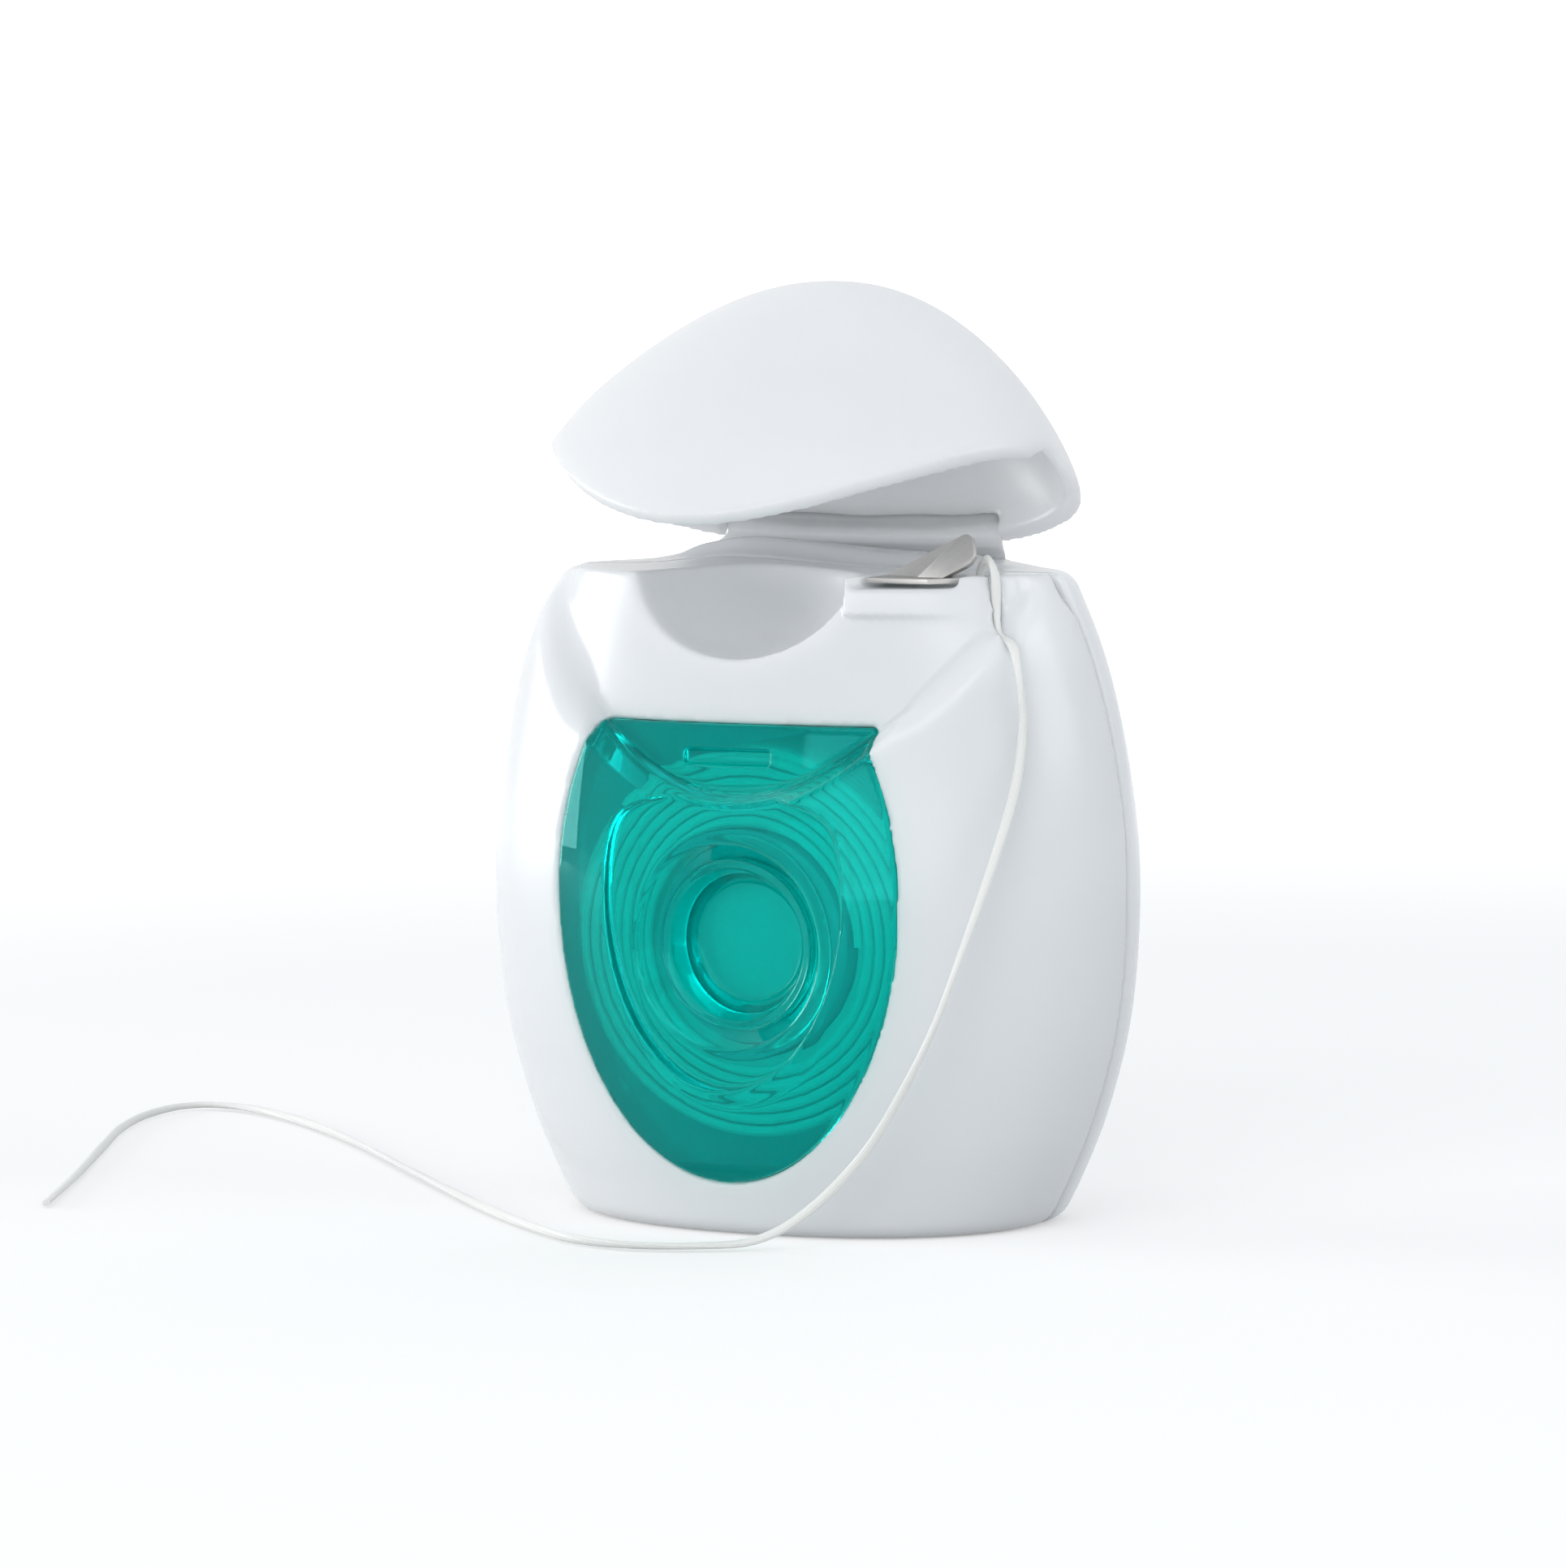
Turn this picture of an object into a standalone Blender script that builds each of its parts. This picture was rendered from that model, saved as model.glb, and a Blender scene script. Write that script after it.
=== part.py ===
"""Flip-top dental floss dispenser: two shells, a clear window, a bobbin, a cutter and a hinged lid.

Metres, +Z up, the front towards -Y. The origin is the middle of the flat base. Every piece is placed
from an empty on the seam plane between the two shells, so the sizes below are measured from that plane.
"""
import math

import bmesh
import bpy
from mathutils import Matrix, Vector

# Housing
BODY_WIDTH = 0.0498
BODY_HEIGHT = 0.0464
FRONT_BULGE = 0.0150
REAR_DEPTH = 0.0092
SEAM_Y = 0.0029
WALL = 0.0012
FIT_GAP = 0.0003
LIP_WALL = 0.0007
LIP_REACH = 0.0010
BASE_ROUND = 0.0011
DECK_ROUND = 0.0007
FRONT_POWER = 2.2
REAR_POWER = 2.5
HEIGHT_SHARES = (0.0, 0.06, 0.16, 0.30, 0.45, 0.60, 0.75, 0.88, 1.0)
WIDTH_SHARES = (0.735, 0.798, 0.884, 0.963, 0.999, 0.999, 0.960, 0.894, 0.795)
FRONT_SHARES = (0.880, 0.920, 0.970, 1.0, 0.998, 0.975, 0.915, 0.845, 0.773)
REAR_SHARES = (0.978, 0.985, 0.995, 1.0, 1.0, 1.0, 0.985, 0.970, 0.957)

# Sunken facet and its ledge, which the lid's tongue closes on
TONGUE_DROP = 0.0150
LEDGE_END_DROP = 0.0007
LEDGE_INSET = 0.0049
LEDGE_LOW_Z = BODY_HEIGHT - TONGUE_DROP
LEDGE_HIGH_Z = BODY_HEIGHT - LEDGE_END_DROP
LEDGE_HALF_WIDTH = BODY_WIDTH / 2 - LEDGE_INSET
LEDGE_POWER = 1.95
FACET_RECESS = 0.0024
FACET_SIDE_RECESS = 0.0010
FACET_DEPTH = 0.0118
FACET_BACK_Y = FACET_DEPTH - FRONT_BULGE

# Thumb scoop
SCOOP_X = -0.0012
SCOOP_INSET = 0.0054
SCOOP_Y = SCOOP_INSET - FRONT_BULGE
SCOOP_RISE = 0.0026
SCOOP_HALF_WIDTH = 0.0086
SCOOP_HALF_DEPTH = 0.0080
SCOOP_HALF_HEIGHT = 0.0085

# Lid's wall, and how far its front swells past the housing's line at the deck
LID_WALL = 0.0013
LID_FRONT_SWELL = 0.0006

# Cutter pad, cutter plate and its bent-up tab
PLATE_LEFT_X = 0.0090
PLATE_WIDTH = 0.0056
PLATE_INSET = 0.0080
PLATE_REACH = 0.0032
PLATE_RIGHT_X = PLATE_LEFT_X + PLATE_WIDTH
PLATE_FRONT_Y = PLATE_INSET - FRONT_BULGE
PLATE_BACK_Y = PLATE_FRONT_Y + PLATE_REACH
PAD_LEFT_MARGIN = 0.0014
PAD_RIGHT_MARGIN = 0.0026
PAD_BACK_MARGIN = 0.0004
PAD_LEFT_X = PLATE_LEFT_X - PAD_LEFT_MARGIN
PAD_RIGHT_X = PLATE_RIGHT_X + PAD_RIGHT_MARGIN
PAD_BACK_Y = PLATE_BACK_Y + PAD_BACK_MARGIN
PAD_INSET = LID_WALL + FIT_GAP
PAD_DEPTH = 0.0026
PLATE_SINK = 0.0008
PLATE_THICKNESS = 0.00035
TAB_LENGTH = 0.0052
TAB_WIDTH = 0.0017
TAB_RISE_DEG = 27.0
TAB_LEAN_DEG = 48.0

# Floss exit: the drilled hole and the open guide that leads the strand over the corner
EXIT_X = 0.0150
EXIT_Y = -0.0030
EXIT_RADIUS = 0.0008
TOWER_REACH = 0.0022
TOWER_BACK = 0.0016
TOWER_DEPTH = 0.0064
GUIDE_WIDTH = 0.0013
GUIDE_TURN_DEG = -39.0
GUIDE_RUN = 0.0090
GUIDE_DROP = 0.0052
GUIDE_SHARES = ((0.0, 0.10), (0.22, 0.13), (0.236, 0.22), (0.24, 0.54), (0.27, 0.755), (0.353, 0.90),
                (0.467, 0.952), (0.578, 0.98), (1.0, 1.15))

# Window insert
WINDOW_HALF_WIDTH = 0.0137
WINDOW_BASE_MARGIN = 0.0039
WINDOW_TOP_DROP = 0.0101
WINDOW_WIDEST_SHARE = 0.63
WINDOW_CORNER_X = 0.0106
WINDOW_CHAMFER_DROP = 0.0016
WINDOW_UPPER_REACH = 0.0188
WINDOW_DEPTH = 0.0080
WINDOW_BOTTOM_Z = WINDOW_BASE_MARGIN
WINDOW_TOP_Z = BODY_HEIGHT - WINDOW_TOP_DROP
WINDOW_CHAMFER_Z = WINDOW_TOP_Z - WINDOW_CHAMFER_DROP
WINDOW_WIDEST_Z = WINDOW_BOTTOM_Z + (WINDOW_TOP_Z - WINDOW_BOTTOM_Z) * WINDOW_WIDEST_SHARE
WINDOW_BACK_Y = WINDOW_DEPTH - FRONT_BULGE
FLANGE_WALL = 0.0008
FLANGE_RIM = 0.0011
FLANGE_DROP = 0.0024

# Dish in the window, the hub's well in the dish and the latch slot above it
DISH_HALF_WIDTH = 0.0095
DISH_BOTTOM_MARGIN = 0.0066
DISH_TOP_MARGIN = 0.0063
DISH_TOP_SHARES = ((0.98, 0.45), (0.93, 0.75), (0.84, 0.93), (0.72, 1.0))
DISH_DEPTH = 0.0016
DISH_WALL = 0.0012
DISH_BOTTOM_Z = WINDOW_BOTTOM_Z + DISH_BOTTOM_MARGIN
DISH_TOP_Z = WINDOW_TOP_Z - DISH_TOP_MARGIN
DISH_FLOOR_Y = DISH_DEPTH - FRONT_BULGE
BORE_RADIUS = 0.0067
HUB_LIFT = 0.00025
HUB_Z = (BODY_HEIGHT + SCOOP_RISE - SCOOP_HALF_HEIGHT) / 2 + HUB_LIFT
BOSS_RADIUS = BORE_RADIUS - FIT_GAP
WELL_MOUTH_RADIUS = BOSS_RADIUS - DISH_WALL
WELL_TAPER = 0.0016
WELL_FLOOR_RADIUS = WELL_MOUTH_RADIUS - WELL_TAPER
WELL_DEPTH = 0.0040
SLOT_WIDTH = 0.0064
SLOT_HEIGHT = 0.0011
SLOT_DEPTH = 0.0006
SLOT_DROP = 0.0023
SLOT_Z = WINDOW_TOP_Z - SLOT_DROP

# Bobbin and wound floss
CORE_WALL = 0.0012
BOBBIN_FRONT_GAP = 0.0026
BOBBIN_BACK_INSET = 0.0030
BOBBIN_FRONT_Y = DISH_FLOOR_Y + DISH_WALL + BOBBIN_FRONT_GAP
BOBBIN_BACK_Y = REAR_DEPTH - BOBBIN_BACK_INSET
PACK_RADIUS = 0.0129
PACK_STEP = 0.0009
FLOSS_DIAMETER = 0.0007
FACE_LOOPS = 3
DRUM_LOOPS = 9
LOOP_POINTS = 24

# Lid, drawn closed and turned open about the hinge axis
LID_RISE = 0.0134
LID_FLARE = 0.0007
LID_FLARE_DROP = 0.0064
LID_FLARE_START_Z = BODY_HEIGHT - LID_FLARE_DROP
CROWN_FORWARD = 0.0038
CROWN_FORWARD_POWER = 2.0
CROWN_WIDTH_POWER = 1.21
CROWN_DEPTH_POWER = 1.55
CROWN_TOP_SHARE = 0.998
RIM_GAP = 0.00035
TONGUE_GAP = 0.0005
REAR_RIM_LIFT = 0.00075
REAR_RIM_Z = BODY_HEIGHT + REAR_RIM_LIFT
REAR_RIM_START_Y = 0.0025
NOTCH_LIFT = 0.0022
NOTCH_SIDE_GAP = 0.0014
LATCH_WIDTH = 0.0052
LATCH_HEIGHT = 0.0005
LATCH_REACH = 0.0005
OPEN_ANGLE_DEG = 42.0
HINGE_INSET = 0.0006
HINGE_LIFT = 0.0015
HINGE_Y = REAR_DEPTH - HINGE_INSET
HINGE_Z = BODY_HEIGHT + HINGE_LIFT
HINGE_HALF_WIDTH = 0.0110
HINGE_THICKNESS = 0.0005
NOTCH_Z = BODY_HEIGHT + NOTCH_LIFT
NOTCH_HALF_WIDTH = HINGE_HALF_WIDTH + NOTCH_SIDE_GAP

# Raised rear deck that the living hinge stands on
PLATEAU_HALF_WIDTH = 0.0160
PLATEAU_RISE = 0.0008
PLATEAU_SHOULDER = 0.0010
PLATEAU_FRONT_Y = 0.0022

# Free floss: the cut strand from the exit, over the guide, down the front and along the floor
TAIL_STEPS = 2
TAIL_ROUTE = (
    (0.0150, -0.0030, 0.0450),
    (0.0150, -0.0030, 0.0460),
    (0.0152, -0.0032, 0.0468),
    (0.0156, -0.0035, 0.0473),
    (0.0161, -0.0039, 0.0475),
    (0.0167, -0.0044, 0.0472),
    (0.0171, -0.0047, 0.0465),
    (0.0172, -0.0048, 0.0455),
    (0.0172, -0.0048, 0.0443),
    (0.0173, -0.0049, 0.0432),
    (0.0177, -0.0052, 0.0424),
    (0.0183, -0.0057, 0.0421),
    (0.0191, -0.0064, 0.0419),
    (0.0198, -0.0071, 0.0414),
    (0.0203, -0.0076, 0.0402),
    (0.0207, -0.0079, 0.0384),
    (0.0209, -0.0081, 0.0360),
    (0.0209, -0.0094, 0.0320),
    (0.0202, -0.0115, 0.0270),
    (0.0188, -0.0132, 0.0215),
    (0.0171, -0.0145, 0.0160),
    (0.0149, -0.0157, 0.0110),
    (0.0122, -0.0166, 0.0066),
    (0.0085, -0.0177, 0.0028),
    (0.0050, -0.0188, 0.0008),
    (0.0010, -0.0208, 0.00045),
    (-0.0035, -0.0222, 0.00045),
    (-0.0085, -0.0212, 0.00045),
    (-0.0142, -0.0175, 0.00045),
    (-0.0210, -0.0120, 0.00045),
    (-0.0286, -0.0052, 0.00045),
    (-0.0376, 0.0030, 0.00045),
    (-0.0468, 0.0114, 0.00045),
    (-0.0545, 0.0178, 0.00045),
    (-0.0611, 0.0224, 0.00045),
    (-0.0668, 0.0250, 0.00045),
    (-0.0706, 0.0240, 0.00045),
    (-0.0709, 0.0186, 0.00045),
    (-0.0684, 0.0110, 0.00045),
    (-0.0640, 0.0020, 0.00045),
    (-0.0580, -0.0100, 0.00045),
    (-0.0520, -0.0227, 0.00045),
)
LEAD_STEPS = 3

# Fineness of the solids
PLAN_STEPS = 52
CORE_STEPS = 36
HEIGHT_RINGS = 13
CORE_RINGS = 9
ROUND_RINGS = 3
CROWN_RINGS = 9
SCOOP_STEPS = 28
SCOOP_RINGS = 16
HOLE_STEPS = 16
TAB_STEPS = 8
WINDING_SIDES = 1
STRAND_SIDES = 2
OUTLINE_STEPS = 22
SIDE_STEPS = 4
TURN_STEPS = 36
OVERRUN = 0.0040
MERGE_DISTANCE = 0.00001
SHARP_ANGLE_DEG = 32.0

# Colours
SHELL_COLOR = (0.86, 0.87, 0.90)
LID_COLOR = (0.88, 0.88, 0.90)
FLOSS_COLOR = (0.85, 0.85, 0.83)

AXIS_TURNS = {
    "X": Matrix(((0, 0, 1), (1, 0, 0), (0, 1, 0))).to_4x4(),
    "Y": Matrix(((1, 0, 0), (0, 0, -1), (0, 1, 0))).to_4x4(),
    "Z": Matrix.Identity(4),
}


def clear_scene():
    """Remove what the scene holds and make the two collections."""
    for obj in list(bpy.data.objects):
        bpy.data.objects.remove(obj)
    collections = []
    for name in ("floss_dispenser", "cutters"):
        collection = bpy.data.collections.new(name)
        bpy.context.scene.collection.children.link(collection)
        collections.append(collection)
    return collections


PARTS, CUTTERS = clear_scene()
SEAM = bpy.data.objects.new("seam_origin", None)
SEAM.location = (0, SEAM_Y, 0)
PARTS.objects.link(SEAM)


def make_material(name, color, roughness, metallic=0.0, transmission=0.0):
    """Principled material of one part."""
    material = bpy.data.materials.new(name)
    material.use_nodes = True
    shader = material.node_tree.nodes["Principled BSDF"]
    shader.inputs["Base Color"].default_value = (*color, 1)
    shader.inputs["Roughness"].default_value = roughness
    shader.inputs["Metallic"].default_value = metallic
    shader.inputs["Transmission Weight"].default_value = transmission
    material.diffuse_color = (*color, 1)
    return material


def add_object(name, mesh, collection):
    """Object for a mesh, placed from the seam plane."""
    obj = bpy.data.objects.new(name, mesh)
    collection.objects.link(obj)
    obj.parent = SEAM
    if collection is CUTTERS:
        obj.hide_render = True
        obj.display_type = "WIRE"
    return obj


def finish_part(obj, name, color, roughness, metallic=0.0, transmission=0.0):
    """Name a part, put it among the parts and give it its own material."""
    obj.name = name
    if obj.type == "MESH":
        bpy.context.view_layer.update()
        mesh = bpy.data.meshes.new_from_object(obj.evaluated_get(bpy.context.evaluated_depsgraph_get()))
        obj.modifiers.clear()
        obj.data = mesh
        mesh.shade_smooth()
        mesh.set_sharp_from_angle(angle=math.radians(SHARP_ANGLE_DEG))
    obj.data.name = name
    obj.hide_render = False
    obj.display_type = "TEXTURED"
    if obj.name not in PARTS.objects:
        CUTTERS.objects.unlink(obj)
        PARTS.objects.link(obj)
    obj.data.materials.clear()
    obj.data.materials.append(make_material(name, color, roughness, metallic, transmission))
    return obj


def boolean(obj, tool, operation="DIFFERENCE"):
    """Cut, join or intersect an object with a tool."""
    modifier = obj.modifiers.new(tool.name, "BOOLEAN")
    modifier.object = tool
    modifier.operation = operation
    modifier.solver = "EXACT"
    return obj


def mesh_object(name, build):
    """Cutter object from a bmesh that a function fills."""
    bm = bmesh.new()
    build(bm)
    bmesh.ops.remove_doubles(bm, verts=bm.verts, dist=MERGE_DISTANCE)
    bmesh.ops.recalc_face_normals(bm, faces=bm.faces)
    mesh = bpy.data.meshes.new(name)
    bm.to_mesh(mesh)
    bm.free()
    return add_object(name, mesh, CUTTERS)


def evaluated_copy(source, name):
    """Plain mesh object from an object with modifiers or a curve, which is removed."""
    bpy.context.view_layer.update()
    mesh = bpy.data.meshes.new_from_object(source.evaluated_get(bpy.context.evaluated_depsgraph_get()))
    bm = bmesh.new()
    bm.from_mesh(mesh)
    bmesh.ops.remove_doubles(bm, verts=bm.verts, dist=MERGE_DISTANCE)
    bmesh.ops.recalc_face_normals(bm, faces=bm.faces)
    bm.to_mesh(mesh)
    bm.free()
    copy = add_object(name, mesh, CUTTERS)
    copy.matrix_world = source.matrix_world
    bpy.data.objects.remove(source)
    return copy


def loft(name, rings):
    """Closed mesh through rings of points, lowest ring first."""

    def build(bm):
        loops = [[bm.verts.new(point) for point in ring] for ring in rings]
        for lower, upper in zip(loops, loops[1:]):
            for index in range(len(lower)):
                after = (index + 1) % len(lower)
                bm.faces.new((lower[index], lower[after], upper[after], upper[index]))
        bm.faces.new(list(reversed(loops[0])))
        bm.faces.new(loops[-1])

    return mesh_object(name, build)


def prism(name, outline, near, far, along):
    """Solid of a flat outline, extruded from near to far along an axis."""
    curve = bpy.data.curves.new(name, "CURVE")
    curve.dimensions = "2D"
    curve.fill_mode = "BOTH"
    curve.extrude = (far - near) / 2
    spline = curve.splines.new("POLY")
    spline.points.add(len(outline) - 1)
    spline.use_cyclic_u = True
    for point, (first, second) in zip(spline.points, outline):
        point.co = (first, second, 0, 1)
    source = add_object(name + "_outline", curve, CUTTERS)
    solid = evaluated_copy(source, name)
    middle = {axis: (near + far) / 2 if axis == along else 0.0 for axis in "XYZ"}
    turn = Matrix.Translation((middle["X"], middle["Y"], middle["Z"])) @ AXIS_TURNS[along]
    solid.data.transform(turn)
    return solid


def block(name, low, high):
    """Box between two corners."""
    low, high = Vector(low), Vector(high)

    def build(bm):
        bmesh.ops.create_cube(bm, size=1.0)
        bmesh.ops.scale(bm, vec=high - low, verts=bm.verts)
        bmesh.ops.translate(bm, vec=(low + high) / 2, verts=bm.verts)

    return mesh_object(name, build)


def cone_y(name, center_x, center_z, near, far, near_radius, far_radius):
    """Cylinder or cone along Y, from near to far."""

    def build(bm):
        bmesh.ops.create_cone(bm, cap_ends=True, segments=TURN_STEPS, radius1=near_radius,
                              radius2=far_radius, depth=far - near)
        middle = Matrix.Translation((center_x, (near + far) / 2, center_z))
        bm.transform(middle @ Matrix.Rotation(-math.pi / 2, 4, "X"))

    return mesh_object(name, build)


def turned_y(name, profile):
    """Ring turned about the hub's axis from a closed profile of radius and Y."""
    mesh = bpy.data.meshes.new(name)
    points = [(radius, 0, -y) for radius, y in profile]
    edges = [(index, (index + 1) % len(points)) for index in range(len(points))]
    mesh.from_pydata(points, edges, [])
    source = add_object(name + "_profile", mesh, CUTTERS)
    screw = source.modifiers.new("turn", "SCREW")
    screw.steps = TURN_STEPS
    screw.render_steps = TURN_STEPS
    screw.use_merge_vertices = True
    screw.merge_threshold = MERGE_DISTANCE
    solid = evaluated_copy(source, name)
    solid.data.transform(Matrix.Translation((0, 0, HUB_Z)) @ Matrix.Rotation(math.pi / 2, 4, "X"))
    return solid


def share_at(height_share, shares):
    """Smooth value of a housing profile at a share of the height."""
    last = len(HEIGHT_SHARES) - 1
    height_share = min(max(height_share, 0.0), 1.0)
    index = min(sum(height <= height_share for height in HEIGHT_SHARES) - 1, last - 1)

    def slope(point):
        low, high = max(point - 1, 0), min(point + 1, last)
        return (shares[high] - shares[low]) / (HEIGHT_SHARES[high] - HEIGHT_SHARES[low])

    span = HEIGHT_SHARES[index + 1] - HEIGHT_SHARES[index]
    t = (height_share - HEIGHT_SHARES[index]) / span
    start, end = shares[index], shares[index + 1]
    rise = t * t * (3 - 2 * t)
    tangents = (t ** 3 - 2 * t * t + t) * slope(index) + (t ** 3 - t * t) * slope(index + 1)
    return start + (end - start) * rise + span * tangents


def plan_ring(half_width, front, rear, z, steps, shift=0.0):
    """Ring of the rounded plan: a wide oval, deeper at the front than at the rear."""
    ring = []
    for step in range(steps):
        angle = 2 * math.pi * step / steps
        across, along = math.cos(angle), math.sin(angle)
        reach, power = (rear, REAR_POWER) if along > 0 else (front, FRONT_POWER)
        x = half_width * math.copysign(abs(across) ** (2 / power), across)
        y = reach * math.copysign(abs(along) ** (2 / power), along)
        ring.append((x, y + shift, z))
    return ring


def housing_ring(z, side, front, rear, steps):
    """Ring of the housing at a height, drawn in by the given insets."""
    share = z / BODY_HEIGHT
    return plan_ring(BODY_WIDTH / 2 * share_at(share, WIDTH_SHARES) - side,
                     FRONT_BULGE * share_at(share, FRONT_SHARES) - front,
                     REAR_DEPTH * share_at(share, REAR_SHARES) - rear, z, steps)


def housing_form(name):
    """Outer form of the closed housing, with its base and deck edges rounded."""
    levels = []
    for step in range(ROUND_RINGS + 1):
        angle = math.pi / 2 * step / ROUND_RINGS
        levels.append((BASE_ROUND * (1 - math.cos(angle)), BASE_ROUND * (1 - math.sin(angle))))
    low, high = BASE_ROUND, BODY_HEIGHT - DECK_ROUND
    for step in range(1, HEIGHT_RINGS):
        levels.append((low + (high - low) * step / HEIGHT_RINGS, 0.0))
    for step in range(ROUND_RINGS + 1):
        angle = math.pi / 2 * step / ROUND_RINGS
        levels.append((high + DECK_ROUND * math.sin(angle), DECK_ROUND * (1 - math.cos(angle))))
    return loft(name, [housing_ring(z, inset, inset, inset, PLAN_STEPS) for z, inset in levels])


def core_form(name, side, front=None, rear=None, low=None, high=None):
    """Form of the housing drawn in by insets, which are also kept from the base and the deck."""
    front = side if front is None else front
    rear = side if rear is None else rear
    low = side if low is None else low
    high = BODY_HEIGHT - side if high is None else high
    heights = [low + (high - low) * step / CORE_RINGS for step in range(CORE_RINGS + 1)]
    return loft(name, [housing_ring(z, side, front, rear, CORE_STEPS) for z in heights])


def ledge_z(x):
    """Height of the ledge under the lid's tongue, lowest in the middle."""
    return LEDGE_LOW_Z + (LEDGE_HIGH_Z - LEDGE_LOW_Z) * (abs(x) / LEDGE_HALF_WIDTH) ** LEDGE_POWER


def ledge_line(lift):
    """Points along the ledge from left to right, raised by lift."""
    span = BODY_WIDTH / 2
    points = []
    for step in range(OUTLINE_STEPS + 1):
        x = span * (2 * step / OUTLINE_STEPS - 1)
        points.append((x, ledge_z(x) + lift))
    return points


def facet_zone(name, wall):
    """Space in front of the sunken facet, above the ledge, kept a wall thickness larger all round."""
    top = BODY_HEIGHT + LID_RISE
    span = BODY_WIDTH / 2
    outline = ledge_line(-wall) + [(span, top), (-span, top)]
    zone = prism(name, outline, -FRONT_BULGE - OVERRUN, FACET_BACK_Y + wall, "Y")
    core = core_form(name + "_core", FACET_SIDE_RECESS + wall, FACET_RECESS + wall, -OVERRUN,
                     LEDGE_LOW_Z - OVERRUN, BODY_HEIGHT + OVERRUN)
    return boolean(zone, core)


def scoop_form(name, wall):
    """Ellipsoid of the thumb scoop, a wall thickness larger all round."""

    def build(bm):
        bmesh.ops.create_uvsphere(bm, u_segments=SCOOP_STEPS, v_segments=SCOOP_RINGS, radius=1.0)
        size = (SCOOP_HALF_WIDTH + wall, SCOOP_HALF_DEPTH + wall, SCOOP_HALF_HEIGHT + wall)
        bmesh.ops.scale(bm, vec=size, verts=bm.verts)
        bmesh.ops.translate(bm, vec=(SCOOP_X, SCOOP_Y, BODY_HEIGHT + SCOOP_RISE), verts=bm.verts)

    return mesh_object(name, build)


def window_outline(grow):
    """Outline of the window in X and Z: half an ellipse below, a cut ellipse and chamfers above."""
    lower = WINDOW_WIDEST_Z - WINDOW_BOTTOM_Z
    points = []
    for step in range(OUTLINE_STEPS + 1):
        angle = math.pi * step / OUTLINE_STEPS
        points.append(((WINDOW_HALF_WIDTH + grow) * math.cos(angle),
                       WINDOW_WIDEST_Z - (lower + grow) * math.sin(angle)))
    left = []
    end_angle = math.asin((WINDOW_CHAMFER_Z - WINDOW_WIDEST_Z) / WINDOW_UPPER_REACH)
    for step in range(1, SIDE_STEPS + 1):
        angle = end_angle * step / SIDE_STEPS
        left.append((-(WINDOW_HALF_WIDTH + grow) * math.cos(angle),
                     WINDOW_WIDEST_Z + WINDOW_UPPER_REACH * math.sin(angle)))
    left.append((-WINDOW_CORNER_X - grow, WINDOW_TOP_Z + grow))
    right = [(-x, z) for x, z in reversed(left)]
    return points + left + right


def dish_outline(grow):
    """Outline of the window's dish: half an ellipse below a slightly narrowing upper part."""
    points = []
    for step in range(OUTLINE_STEPS + 1):
        angle = math.pi * step / OUTLINE_STEPS
        points.append(((DISH_HALF_WIDTH + grow) * math.cos(angle),
                       WINDOW_WIDEST_Z - (WINDOW_WIDEST_Z - DISH_BOTTOM_Z + grow) * math.sin(angle)))
    left = []
    for across, up in DISH_TOP_SHARES:
        left.append((-(DISH_HALF_WIDTH + grow) * across,
                     WINDOW_WIDEST_Z + (DISH_TOP_Z - WINDOW_WIDEST_Z + grow) * up))
    return points + left + [(-x, z) for x, z in reversed(left)]


def exit_tower(name):
    """Solid corner inside the front shell that the exit hole and the guide are cut in."""
    low = (EXIT_X - TOWER_REACH, -FRONT_BULGE, BODY_HEIGHT - TOWER_DEPTH)
    high = (BODY_WIDTH / 2, EXIT_Y + TOWER_BACK, BODY_HEIGHT + OVERRUN)
    return block(name, low, high)


def front_cavity():
    """Hollow of the front shell, which follows the facet and the scoop inside."""
    cavity = core_form("front_cavity", WALL)
    boolean(cavity, facet_zone("facet_backing", WALL))
    boolean(cavity, scoop_form("scoop_backing", WALL))
    return boolean(cavity, exit_tower("exit_tower"))


def exit_cutters():
    """The exit hole and the open guide from it over the corner."""
    depth = TOWER_DEPTH + OVERRUN
    hole = mesh_object("exit_hole", lambda bm: bmesh.ops.create_cone(
        bm, cap_ends=True, segments=HOLE_STEPS, radius1=EXIT_RADIUS, radius2=EXIT_RADIUS,
        depth=2 * depth, matrix=Matrix.Translation((EXIT_X, EXIT_Y, BODY_HEIGHT))))
    floor = [(along * GUIDE_RUN, BODY_HEIGHT - down * GUIDE_DROP) for along, down in GUIDE_SHARES]
    outline = floor + [(floor[-1][0], BODY_HEIGHT + OVERRUN), (floor[0][0], BODY_HEIGHT + OVERRUN)]
    guide = prism("exit_guide", outline, -GUIDE_WIDTH / 2, GUIDE_WIDTH / 2, "Y")
    guide.data.transform(Matrix.Translation((EXIT_X, EXIT_Y, 0))
                         @ Matrix.Rotation(math.radians(GUIDE_TURN_DEG), 4, "Z"))
    return hole, guide


def cutter_pad():
    """Raised pad in front of the deck that carries the cutter plate."""
    pad = block("cutter_pad", (PAD_LEFT_X, -FRONT_BULGE, BODY_HEIGHT - PAD_DEPTH),
                (PAD_RIGHT_X, PAD_BACK_Y, BODY_HEIGHT))
    core = core_form("pad_core", PAD_INSET, PAD_INSET, PAD_INSET, LEDGE_LOW_Z, BODY_HEIGHT + OVERRUN)
    return boolean(pad, core, "INTERSECT")


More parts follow.
